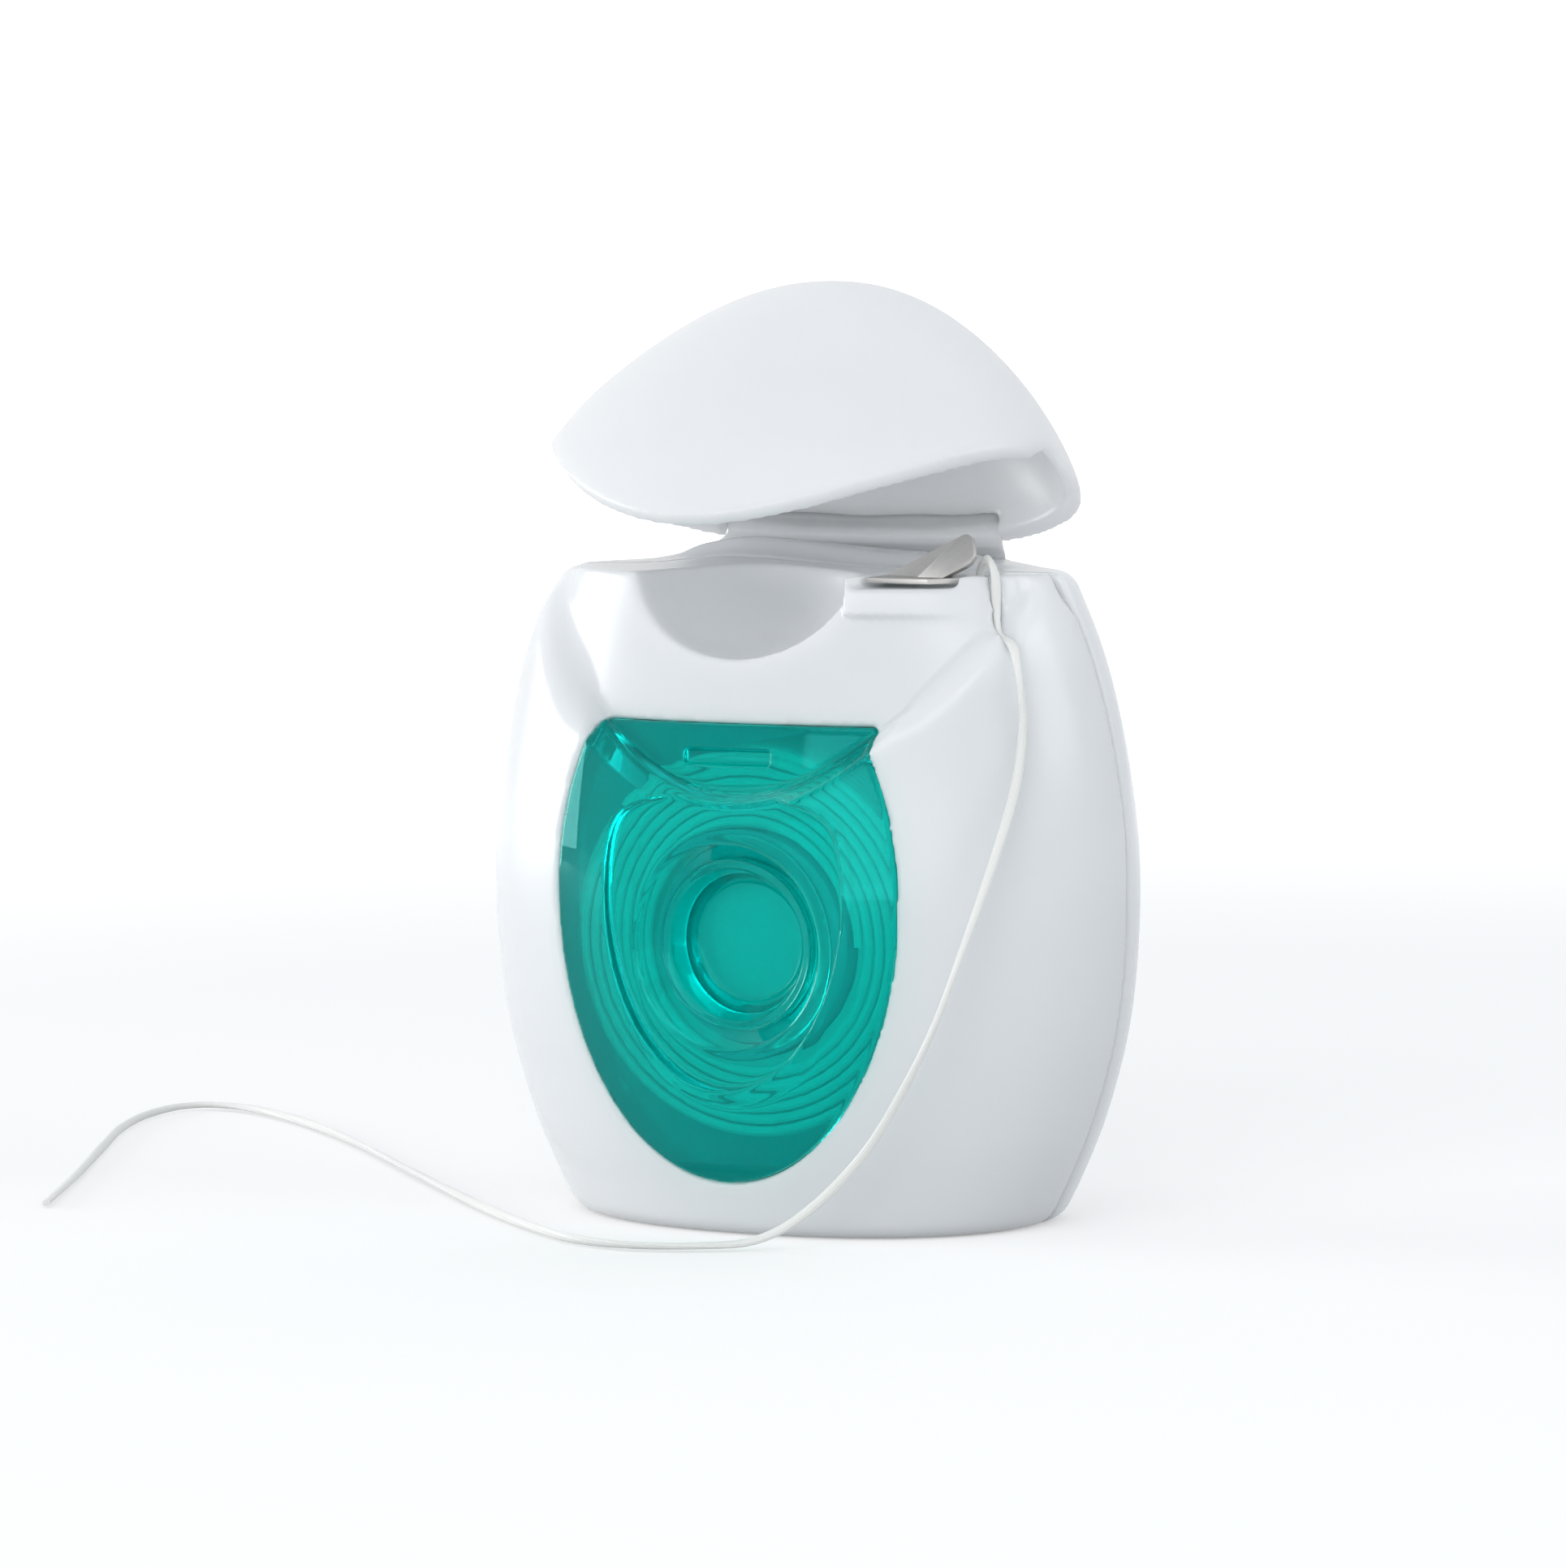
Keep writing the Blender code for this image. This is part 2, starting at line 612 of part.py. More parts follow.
def build_front_shell():
    """Bulging front shell with its facet, scoop, cutter pad, floss exit and window opening."""
    shell = housing_form("front_shell_form")
    far = REAR_DEPTH + OVERRUN
    side = BODY_WIDTH / 2 + OVERRUN
    high = BODY_HEIGHT + OVERRUN
    boolean(shell, block("behind_seam", (-side, -FIT_GAP / 2, -OVERRUN), (side, far, high)))
    boolean(shell, facet_zone("facet", 0.0))
    boolean(shell, scoop_form("scoop", 0.0))
    boolean(shell, cutter_pad(), "UNION")
    boolean(shell, front_cavity())
    boolean(shell, block("plate_seat", (PLATE_LEFT_X - FIT_GAP, -FRONT_BULGE, BODY_HEIGHT - PLATE_SINK),
                         (PLATE_RIGHT_X + FIT_GAP, PLATE_BACK_Y + FIT_GAP, high)))
    boolean(shell, prism("window_opening", window_outline(FIT_GAP), -FRONT_BULGE - OVERRUN,
                         WINDOW_BACK_Y, "Y"))
    for tool in exit_cutters():
        boolean(shell, tool)
    return finish_part(shell, "front_shell", SHELL_COLOR, 0.25)


def rear_plateau(high):
    """Raised rear deck: a low step that carries the living hinge between two shoulders."""
    seat = HINGE_HALF_WIDTH + FIT_GAP
    right = [(PLATEAU_HALF_WIDTH, BODY_HEIGHT - WALL), (PLATEAU_HALF_WIDTH, BODY_HEIGHT),
             (seat + PLATEAU_SHOULDER, BODY_HEIGHT + PLATEAU_RISE / 2), (seat, BODY_HEIGHT + PLATEAU_RISE)]
    left = [(-x, z) for x, z in reversed(right)]
    plateau = prism("rear_deck", right + left, PLATEAU_FRONT_Y, REAR_DEPTH, "Y")
    core = core_form("rear_deck_core", WALL / 2, low=BODY_HEIGHT - 2 * WALL, high=high)
    return boolean(plateau, core, "INTERSECT")


def build_rear_shell():
    """Shallow rear shell with a lip inside the seam, the bobbin's post and the raised rear deck."""
    shell = housing_form("rear_shell_form")
    side = BODY_WIDTH / 2 + OVERRUN
    low, high = -OVERRUN, BODY_HEIGHT + OVERRUN
    boolean(shell, block("ahead_of_seam", (-side, -FRONT_BULGE - OVERRUN, low), (side, FIT_GAP / 2, high)))
    lip = core_form("seam_lip", WALL + FIT_GAP)
    boolean(lip, block("ahead_of_lip", (-side, -FRONT_BULGE - OVERRUN, low), (side, -LIP_REACH, high)))
    boolean(shell, lip, "UNION")
    boolean(shell, core_form("rear_cavity", WALL + FIT_GAP + LIP_WALL))
    boolean(shell, rear_plateau(high), "UNION")
    post_front = DISH_FLOOR_Y + WELL_DEPTH + DISH_WALL + FIT_GAP
    post = cone_y("hub_post", 0.0, HUB_Z, post_front, REAR_DEPTH - WALL, BOSS_RADIUS, BOSS_RADIUS)
    boolean(shell, post, "UNION")
    return finish_part(shell, "rear_shell", SHELL_COLOR, 0.25)


def window_cavity():
    """Space behind the window insert: it leaves the wall, the dish's floor and the boss."""
    inner_wall = WALL + FIT_GAP + FLANGE_WALL
    cavity = core_form("window_cavity", inner_wall)
    boolean(cavity, facet_zone("window_facet_backing", WALL))
    boolean(cavity, prism("dish_backing", dish_outline(DISH_WALL), -FRONT_BULGE - OVERRUN,
                          DISH_FLOOR_Y + DISH_WALL, "Y"))
    well_back = DISH_FLOOR_Y + WELL_DEPTH + DISH_WALL
    return boolean(cavity, cone_y("boss", 0.0, HUB_Z, -FRONT_BULGE, well_back, BOSS_RADIUS, BOSS_RADIUS))


def window_flange():
    """Flange behind the front shell's wall that holds the insert in its opening."""
    ring = prism("window_flange", window_outline(FLANGE_RIM), -FRONT_BULGE - OVERRUN, WINDOW_BACK_Y, "Y")
    boolean(ring, core_form("flange_outer", WALL + FIT_GAP), "INTERSECT")
    side = BODY_WIDTH / 2
    above = block("above_flange", (-side, -FRONT_BULGE - OVERRUN, LEDGE_LOW_Z - FLANGE_DROP),
                  (side, 0.0, BODY_HEIGHT))
    return boolean(ring, above)


def build_window_insert():
    """Clear insert that carries on the front's bulge, with its dish, hub well and latch slot."""
    insert = prism("window_form", window_outline(0.0), -FRONT_BULGE - OVERRUN, WINDOW_BACK_Y, "Y")
    boolean(insert, housing_form("window_outer"), "INTERSECT")
    boolean(insert, facet_zone("window_facet", 0.0))
    boolean(insert, window_flange(), "UNION")
    boolean(insert, window_cavity())
    boolean(insert, prism("dish", dish_outline(0.0), -FRONT_BULGE - OVERRUN, DISH_FLOOR_Y, "Y"))
    lead_in = (WELL_MOUTH_RADIUS - WELL_FLOOR_RADIUS) / WELL_DEPTH * WALL
    boolean(insert, cone_y("well", 0.0, HUB_Z, DISH_FLOOR_Y - WALL, DISH_FLOOR_Y + WELL_DEPTH,
                           WELL_MOUTH_RADIUS + lead_in, WELL_FLOOR_RADIUS))
    slot_floor = facet_y(0.0, SLOT_Z) + SLOT_DEPTH
    boolean(insert, block("latch_slot", (-SLOT_WIDTH / 2, -FRONT_BULGE, SLOT_Z - SLOT_HEIGHT / 2),
                          (SLOT_WIDTH / 2, slot_floor, SLOT_Z + SLOT_HEIGHT / 2)))
    return finish_part(insert, "window_insert", (0.0, 0.50, 0.48), 0.06, transmission=0.9)


def facet_y(x, z):
    """Y of the sunken facet at a place on it."""
    share = z / BODY_HEIGHT
    half_width = BODY_WIDTH / 2 * share_at(share, WIDTH_SHARES) - FACET_SIDE_RECESS
    front = FRONT_BULGE * share_at(share, FRONT_SHARES) - FACET_RECESS
    return -front * (1 - (abs(x) / half_width) ** FRONT_POWER) ** (1 / FRONT_POWER)


def lid_ring(z, inset, steps):
    """Ring of the closed lid: flush with the housing below the deck, a dome above it."""
    if z <= BODY_HEIGHT:
        share = z / BODY_HEIGHT
        flare = min(max((z - LID_FLARE_START_Z) / (BODY_HEIGHT - LID_FLARE_START_Z), 0.0), 1.0)
        half_width = BODY_WIDTH / 2 * share_at(share, WIDTH_SHARES) + LID_FLARE * flare
        front = FRONT_BULGE * share_at(share, FRONT_SHARES) + LID_FRONT_SWELL * flare
        rear = REAR_DEPTH * share_at(share, REAR_SHARES)
        shift = 0.0
    else:
        climb = (z - BODY_HEIGHT) / (LID_RISE - inset)
        width_share = math.sqrt(max(1 - climb ** CROWN_WIDTH_POWER, 0.0))
        depth_share = math.sqrt(max(1 - climb ** CROWN_DEPTH_POWER, 0.0))
        half_width = (BODY_WIDTH / 2 * WIDTH_SHARES[-1] + LID_FLARE) * width_share
        front = (FRONT_BULGE * FRONT_SHARES[-1] + LID_FRONT_SWELL) * depth_share
        rear = REAR_DEPTH * REAR_SHARES[-1] * depth_share
        shift = -CROWN_FORWARD * climb ** CROWN_FORWARD_POWER
    least = inset / 2
    return plan_ring(max(half_width - inset, least), max(front - inset, least), max(rear - inset, least),
                     z, steps, shift)


def lid_form(name, inset, steps, crown_rings):
    """Closed form of the lid, drawn in by an inset."""
    low = LEDGE_LOW_Z - OVERRUN / 2
    below = [low + (BODY_HEIGHT - low) * step / CORE_RINGS for step in range(CORE_RINGS + 1)]
    top = LID_RISE - inset
    rises = [math.sin(math.pi / 2 * step / crown_rings) for step in range(1, crown_rings)]
    above = [BODY_HEIGHT + top * rise for rise in rises + [CROWN_TOP_SHARE]]
    return loft(name, [lid_ring(z, inset, steps) for z in below + above])


def build_lid():
    """Domed lid with its front tongue and latch bump, turned open about the hinge."""
    lid = lid_form("lid_form", 0.0, PLAN_STEPS, CROWN_RINGS)
    boolean(lid, lid_form("lid_hollow", LID_WALL, CORE_STEPS, CROWN_RINGS))
    span = BODY_WIDTH / 2
    below = ledge_line(TONGUE_GAP) + [(span, 0.0), (-span, 0.0)]
    boolean(lid, prism("below_tongue", below, -FRONT_BULGE - OVERRUN, FACET_BACK_Y + WALL, "Y"))
    seam_rim = BODY_HEIGHT + RIM_GAP
    far = HINGE_Y + OVERRUN
    near = FACET_BACK_Y - TONGUE_GAP
    rear_outline = [(near, 0.0), (far, 0.0), (far, REAR_RIM_Z), (REAR_RIM_START_Y, REAR_RIM_Z),
                    (0.0, seam_rim), (near, seam_rim)]
    boolean(lid, prism("below_rear_rim", rear_outline, -span - OVERRUN, span + OVERRUN, "X"))
    boolean(lid, block("hinge_notch", (-NOTCH_HALF_WIDTH, HINGE_Y - OVERRUN, BODY_HEIGHT - OVERRUN),
                       (NOTCH_HALF_WIDTH, far, NOTCH_Z)))
    bump_back = facet_y(0.0, SLOT_Z) - FACET_RECESS + LID_WALL + LATCH_REACH + FIT_GAP
    bump = block("latch_bump", (-LATCH_WIDTH / 2, facet_y(0.0, SLOT_Z) - FACET_RECESS + LID_WALL / 2,
                                SLOT_Z - LATCH_HEIGHT / 2),
                 (LATCH_WIDTH / 2, bump_back, SLOT_Z + LATCH_HEIGHT / 2))
    boolean(lid, bump, "UNION")
    solid = evaluated_copy(lid, "lid_solid")
    solid.data.transform(Matrix.Translation((0, -HINGE_Y, -HINGE_Z)))
    solid.location = (0, HINGE_Y, HINGE_Z)
    solid.rotation_euler = (-math.radians(OPEN_ANGLE_DEG), 0, 0)
    return finish_part(solid, "lid", LID_COLOR, 0.25)


def build_living_hinge():
    """Thin web from the rear deck to the lid's rear rim, bent as the open lid bends it."""
    turn = Matrix.Rotation(-math.radians(OPEN_ANGLE_DEG), 2)
    foot = Vector((HINGE_Y - LID_WALL / 2, BODY_HEIGHT + PLATEAU_RISE + FIT_GAP))
    rim = Vector((-LID_WALL / 2, NOTCH_Z - FIT_GAP - HINGE_Z))
    head = Vector((HINGE_Y, HINGE_Z)) + turn @ rim
    half = HINGE_THICKNESS / 2
    across = turn @ Vector((half, 0))
    outline = [(foot.x - half, foot.y), (foot.x + half, foot.y),
               tuple(head + across), tuple(head - across)]
    web = prism("web", outline, -HINGE_HALF_WIDTH, HINGE_HALF_WIDTH, "X")
    return finish_part(web, "living_hinge", LID_COLOR, 0.3)


def build_cutter_plate():
    """Steel plate in its seat, with the tab lanced out of it and bent up."""
    low_z = BODY_HEIGHT - PLATE_SINK + FIT_GAP
    high_z = low_z + PLATE_THICKNESS
    nose = (PLATE_RIGHT_X - PLATE_LEFT_X) / 4
    outline = [(PLATE_LEFT_X, PLATE_FRONT_Y), (PLATE_RIGHT_X - nose, PLATE_FRONT_Y),
               (PLATE_RIGHT_X, PLATE_FRONT_Y + nose), (PLATE_RIGHT_X, PLATE_BACK_Y),
               (PLATE_LEFT_X, PLATE_BACK_Y)]
    plate = prism("cutter_sheet", outline, low_z, high_z, "Z")
    half = TAB_WIDTH / 2
    tab_outline = [(0.0, half), (0.0, -half)]
    for step in range(TAB_STEPS + 1):
        angle = -math.pi / 2 + math.pi * step / TAB_STEPS
        tab_outline.append((TAB_LENGTH - half + half * math.cos(angle), half * math.sin(angle)))
    tab = prism("cutter_tab", tab_outline, -PLATE_THICKNESS / 2, PLATE_THICKNESS / 2, "Z")
    root = Vector((PLATE_LEFT_X + TAB_WIDTH, (PLATE_FRONT_Y + PLATE_BACK_Y) / 2, high_z))
    tab.data.transform(Matrix.Translation(root) @ Matrix.Rotation(-math.radians(TAB_RISE_DEG), 4, "Y")
                       @ Matrix.Rotation(math.radians(TAB_LEAN_DEG), 4, "X"))
    boolean(tab, block("below_sheet", (PLATE_LEFT_X, -FRONT_BULGE, 0.0),
                       (PLATE_RIGHT_X, 0.0, low_z + PLATE_THICKNESS / 2)))
    boolean(plate, tab, "UNION")
    return finish_part(plate, "cutter_plate", (0.42, 0.41, 0.40), 0.35, metallic=1.0)


def build_bobbin():
    """Core tube of the bobbin and the plain wound layers on it."""
    core_radius = BORE_RADIUS + CORE_WALL
    core = turned_y("core_tube", [(core_radius, BOBBIN_BACK_Y), (core_radius, BOBBIN_FRONT_Y),
                                  (BORE_RADIUS, BOBBIN_FRONT_Y), (BORE_RADIUS, BOBBIN_BACK_Y)])
    finish_part(core, "bobbin_core", (0.80, 0.80, 0.78), 0.5)
    front, back = BOBBIN_FRONT_Y + PACK_STEP, BOBBIN_BACK_Y - PACK_STEP / 2
    inner = core_radius + FIT_GAP
    pack = turned_y("pack_ring", [(PACK_RADIUS, back), (PACK_RADIUS, front),
                                  (inner, front), (inner, back)])
    finish_part(pack, "floss_pack", (0.85, 0.85, 0.82), 0.7)


def tube(name, points, radius, resolution):
    """Round strand along points, with filled ends."""
    curve = bpy.data.curves.new(name, "CURVE")
    curve.dimensions = "3D"
    curve.bevel_depth = radius
    curve.bevel_resolution = resolution
    curve.use_fill_caps = True
    spline = curve.splines.new("POLY")
    spline.points.add(len(points) - 1)
    for point, place in zip(spline.points, points):
        point.co = (*place, 1)
    return add_object(name, curve, CUTTERS)


def winding_points():
    """One strand: a flat spiral on the pack's front face, then turns along the drum."""
    radius = FLOSS_DIAMETER / 2
    outer = PACK_RADIUS + FIT_GAP + radius
    inner = BORE_RADIUS + CORE_WALL + FLOSS_DIAMETER
    front = BOBBIN_FRONT_Y + PACK_STEP - FIT_GAP - radius
    back = BOBBIN_BACK_Y - PACK_STEP / 2 - radius
    points = []
    for step in range(FACE_LOOPS * LOOP_POINTS + 1):
        turns = step / LOOP_POINTS
        reach = inner + (outer - inner) * turns / FACE_LOOPS
        points.append((reach, front, turns))
    pitch = (back - front) / DRUM_LOOPS
    for step in range(1, DRUM_LOOPS * LOOP_POINTS + 1):
        turns = step / LOOP_POINTS
        points.append((outer, front + pitch * turns, FACE_LOOPS + turns))
    places = []
    for reach, y, turns in points:
        angle = 2 * math.pi * turns
        places.append(Vector((reach * math.cos(angle), y, HUB_Z + reach * math.sin(angle))))
    return places


def least_gap(points, diameter):
    """Least space between turns of a strand, measured between points a half turn or more apart."""
    least = min((points[i] - points[j]).length
                for i in range(len(points)) for j in range(i + LOOP_POINTS // 2, len(points)))
    return least - diameter


def smooth_route(route, steps):
    """Points along a smooth curve through a route's own points, with a few steps between each two."""
    places = [Vector(place) for place in route]
    points = []
    for index in range(len(places) - 1):
        before, start = places[max(index - 1, 0)], places[index]
        end, after = places[index + 1], places[min(index + 2, len(places) - 1)]
        for step in range(steps):
            t = step / steps
            points.append(0.5 * ((2 * start) + (end - before) * t
                                 + (2 * before - 5 * start + 4 * end - after) * t * t
                                 + (3 * start - before - 3 * end + after) * t ** 3))
    points.append(places[-1])
    return points, sum((second - first).length for first, second in zip(points, points[1:]))


def build_floss():
    """Outer winding, the lead from the bobbin to the exit and the free strand."""
    winding = winding_points()
    radius = FLOSS_DIAMETER / 2
    finish_part(tube("winding", winding, radius, WINDING_SIDES), "floss_winding", FLOSS_COLOR, 0.6)
    print("winding gap mm", round(1000 * least_gap(winding, FLOSS_DIAMETER), 3))
    gap = FIT_GAP + radius
    leave = Vector((PACK_RADIUS + FIT_GAP + FLOSS_DIAMETER + gap, EXIT_Y, HUB_Z + PACK_RADIUS / 2))
    top = Vector((EXIT_X, EXIT_Y, TAIL_ROUTE[0][2] - FIT_GAP))
    bend = Vector((EXIT_X, EXIT_Y, BODY_HEIGHT - TOWER_DEPTH))
    lead, _ = smooth_route([leave, bend, (bend + top) / 2, top], LEAD_STEPS)
    finish_part(tube("lead", lead, radius, STRAND_SIDES), "floss_lead", FLOSS_COLOR, 0.6)
    tail, length = smooth_route(TAIL_ROUTE, TAIL_STEPS)
    finish_part(tube("tail", tail, radius, STRAND_SIDES), "floss_tail", FLOSS_COLOR, 0.6)
    print("free floss mm", round(1000 * length, 1))


def build_dispenser():
    """Build every part."""
    build_front_shell()
    build_rear_shell()
    build_window_insert()
    build_lid()
    build_living_hinge()
    build_cutter_plate()
    build_bobbin()
    build_floss()


build_dispenser()
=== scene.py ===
"""Looks of a flip-top dental floss dispenser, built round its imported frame."""
from math import asin, copysign, cos, hypot, pi, radians, sin, sqrt

import bmesh
import bpy
import numpy as np
from mathutils import Matrix, Vector


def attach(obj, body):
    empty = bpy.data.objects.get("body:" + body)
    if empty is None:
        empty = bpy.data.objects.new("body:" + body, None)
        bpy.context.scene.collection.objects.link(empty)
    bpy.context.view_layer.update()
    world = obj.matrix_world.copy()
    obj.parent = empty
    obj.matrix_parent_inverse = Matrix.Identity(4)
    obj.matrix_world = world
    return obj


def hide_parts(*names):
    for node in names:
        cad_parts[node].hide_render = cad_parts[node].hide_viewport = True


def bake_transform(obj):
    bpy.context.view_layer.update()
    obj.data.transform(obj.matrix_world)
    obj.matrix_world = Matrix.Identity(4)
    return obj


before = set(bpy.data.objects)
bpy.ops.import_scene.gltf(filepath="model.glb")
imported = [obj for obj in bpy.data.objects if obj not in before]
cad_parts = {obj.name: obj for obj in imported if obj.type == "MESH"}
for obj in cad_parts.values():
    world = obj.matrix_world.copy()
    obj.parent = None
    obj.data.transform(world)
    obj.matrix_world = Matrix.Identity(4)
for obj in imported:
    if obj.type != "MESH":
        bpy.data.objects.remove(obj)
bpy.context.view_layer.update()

# Housing
BODY_WIDTH = 0.0498
BODY_HEIGHT = 0.0464
FRONT_BULGE = 0.0150
REAR_DEPTH = 0.0092
SEAM_Y = 0.0029
WALL = 0.0012
FIT_GAP = 0.0003
SEAM_GAP = 0.00012
LIP_WALL = 0.0007
LIP_REACH = 0.0010
BASE_ROUND = 0.0011
DECK_ROUND = 0.0007
FRONT_POWER = 2.2
REAR_POWER = 2.5
HEIGHT_SHARES = (0.0, 0.06, 0.16, 0.30, 0.45, 0.60, 0.75, 0.88, 1.0)
WIDTH_SHARES = (0.735, 0.798, 0.884, 0.963, 0.999, 0.999, 0.960, 0.894, 0.795)
FRONT_SHARES = (0.880, 0.920, 0.970, 1.0, 0.998, 0.975, 0.915, 0.845, 0.773)
REAR_SHARES = (0.978, 0.985, 0.995, 1.0, 1.0, 1.0, 0.985, 0.970, 0.957)

# Sunken facet and its ledge, which the lid's tongue closes on
TONGUE_DROP = 0.0150
LEDGE_END_DROP = 0.0007
LEDGE_INSET = 0.0049
LEDGE_LOW_Z = BODY_HEIGHT - TONGUE_DROP
LEDGE_RISE = BODY_HEIGHT - LEDGE_END_DROP - LEDGE_LOW_Z
LEDGE_HALF_WIDTH = BODY_WIDTH / 2 - LEDGE_INSET
LEDGE_POWER = 1.95
FACET_RECESS = 0.0024
FACET_SIDE_RECESS = 0.0010
FACET_DEPTH = 0.0118
FACET_BACK_Y = FACET_DEPTH - FRONT_BULGE

# Slanted band round the facet
BAND_LEFT = 0.0021
BAND_RIGHT = 0.0015
BAND_HALF_WIDTH = 0.0193
BAND_OVERLAP = 0.0003

# Thumb scoop
SCOOP_X = -0.0010
SCOOP_INSET = 0.0054
SCOOP_Y = SCOOP_INSET - FRONT_BULGE
SCOOP_RISE = 0.0026
SCOOP_HALF_WIDTH = 0.0097
SCOOP_HALF_DEPTH = 0.0080
SCOOP_HALF_HEIGHT = 0.0085

# Lid's wall, and its front's swell past the housing's line
LID_WALL = 0.0013
LID_FRONT_SWELL = 0.0006

# Cutter pad, cutter plate and its bent-up tab
PLATE_LEFT_X = 0.0080
PLATE_WIDTH = 0.0066
PLATE_INSET = 0.0080
PLATE_REACH = 0.0032
PLATE_RIGHT_X = PLATE_LEFT_X + PLATE_WIDTH
PLATE_FRONT_Y = PLATE_INSET - FRONT_BULGE
PLATE_BACK_Y = PLATE_FRONT_Y + PLATE_REACH
PAD_LEFT_MARGIN = 0.0004
PAD_RIGHT_MARGIN = 0.0026
PAD_BACK_MARGIN = 0.0004
PAD_LEFT_X = PLATE_LEFT_X - PAD_LEFT_MARGIN
PAD_RIGHT_X = PLATE_RIGHT_X + PAD_RIGHT_MARGIN
PAD_BACK_Y = PLATE_BACK_Y + PAD_BACK_MARGIN
PAD_INSET = LID_WALL + FIT_GAP
PAD_DEPTH = 0.0026
PLATE_SINK = 0.0008
PLATE_THICKNESS = 0.00035
TAB_LENGTH = 0.0050
TAB_WIDTH = 0.0026
TAB_ROUND = 0.0008
TAB_ROOT = 0.0028
TAB_BACK = 0.00105
TAB_RISE_DEG = 25.5
TAB_LEAN_DEG = 60.0

# Floss exit: the hole and the open guide over the corner
EXIT_X = 0.0150
EXIT_Y = -0.0030
EXIT_RADIUS = 0.0008
TOWER_REACH = 0.0022
TOWER_BACK = 0.0016
TOWER_DEPTH = 0.0064
GUIDE_WIDTH = 0.0006
GUIDE_TURN_DEG = -39.0
GUIDE_RUN = 0.0090
GUIDE_DROP = 0.0052
GUIDE_SHARES = ((0.0, 0.10), (0.22, 0.13), (0.236, 0.22), (0.24, 0.54), (0.27, 0.755), (0.353, 0.90),
                (0.467, 0.952), (0.578, 0.98), (1.0, 1.15))

# Window insert
WINDOW_HALF_WIDTH = 0.0137
WINDOW_TOP_DROP = 0.0104
WINDOW_WIDEST_SHARE = 0.63
WINDOW_CORNER_X = 0.0109
WINDOW_CHAMFER_DROP = 0.0016
WINDOW_UPPER_REACH = 0.0188
WINDOW_LEAN = 0.00055
WINDOW_DEPTH = 0.0080
WINDOW_BOTTOM_Z = 0.0039
WINDOW_TOP_Z = BODY_HEIGHT - WINDOW_TOP_DROP
WINDOW_CHAMFER_Z = WINDOW_TOP_Z - WINDOW_CHAMFER_DROP
WINDOW_WIDEST_Z = WINDOW_BOTTOM_Z + (WINDOW_TOP_Z - WINDOW_BOTTOM_Z) * WINDOW_WIDEST_SHARE
WINDOW_BACK_Y = WINDOW_DEPTH - FRONT_BULGE
FLANGE_WALL = 0.0008
FLANGE_RIM = 0.0011
FLANGE_DROP = 0.0024

# Dish in the window, the hub's well in it and the latch slot
DISH_HALF_WIDTH = 0.0095
DISH_BOTTOM_MARGIN = 0.0066
DISH_TOP_MARGIN = 0.0046
DISH_TOP_SHARES = ((0.99, 0.28), (0.965, 0.48), (0.93, 0.63), (0.88, 0.745), (0.81, 0.82), (0.70, 0.88),
                   (0.50, 0.945), (0.25, 0.985))
DISH_DEPTH = 0.0016
DISH_WALL = 0.0012
DISH_BOTTOM_Z = WINDOW_BOTTOM_Z + DISH_BOTTOM_MARGIN
DISH_TOP_Z = WINDOW_TOP_Z - DISH_TOP_MARGIN
DISH_FLOOR_Y = DISH_DEPTH - FRONT_BULGE
DISH_BACK_Y = DISH_FLOOR_Y + DISH_WALL
BORE_RADIUS = 0.0067
HUB_LIFT = 0.00025
HUB_Z = (BODY_HEIGHT + SCOOP_RISE - SCOOP_HALF_HEIGHT) / 2 + HUB_LIFT
BOSS_RADIUS = BORE_RADIUS - FIT_GAP
WELL_MOUTH_RADIUS = 0.0059
WELL_TAPER = 0.0017
WELL_FLOOR_RADIUS = WELL_MOUTH_RADIUS - WELL_TAPER
WELL_DEPTH = 0.0036
WELL_BACK_Y = DISH_FLOOR_Y + WELL_DEPTH + DISH_WALL
FUNNEL_RADIUS = 0.0074
FUNNEL_DEPTH = 0.0013
SLOT_X = -0.0009
SLOT_WIDTH = 0.0069
SLOT_HEIGHT = 0.0011
SLOT_DEPTH = 0.0006
SLOT_DROP = 0.0023
SLOT_Z = WINDOW_TOP_Z - SLOT_DROP

# Bobbin and wound floss
CORE_WALL = 0.0012
BOBBIN_FRONT_GAP = 0.0026
BOBBIN_BACK_INSET = 0.0030
BOBBIN_FRONT_Y = DISH_BACK_Y + BOBBIN_FRONT_GAP
BOBBIN_BACK_Y = REAR_DEPTH - BOBBIN_BACK_INSET
PACK_RADIUS = 0.0129
PACK_STEP = 0.0009
FLOSS_DIAMETER = 0.0007
FACE_LOOPS = 6
DRUM_LOOPS = 18
LOOP_POINTS = 48
RIDGE_DEPTH = 0.00012
RIDGE_STEPS = 6
STRAND_SIDES = 20
STRAND_GROOVE = 0.10
STRAND_FLATNESS = 0.7
WINDING_FLATNESS = 0.8
LEAD_TWISTS = 0.5
TAIL_TWISTS = 4.0

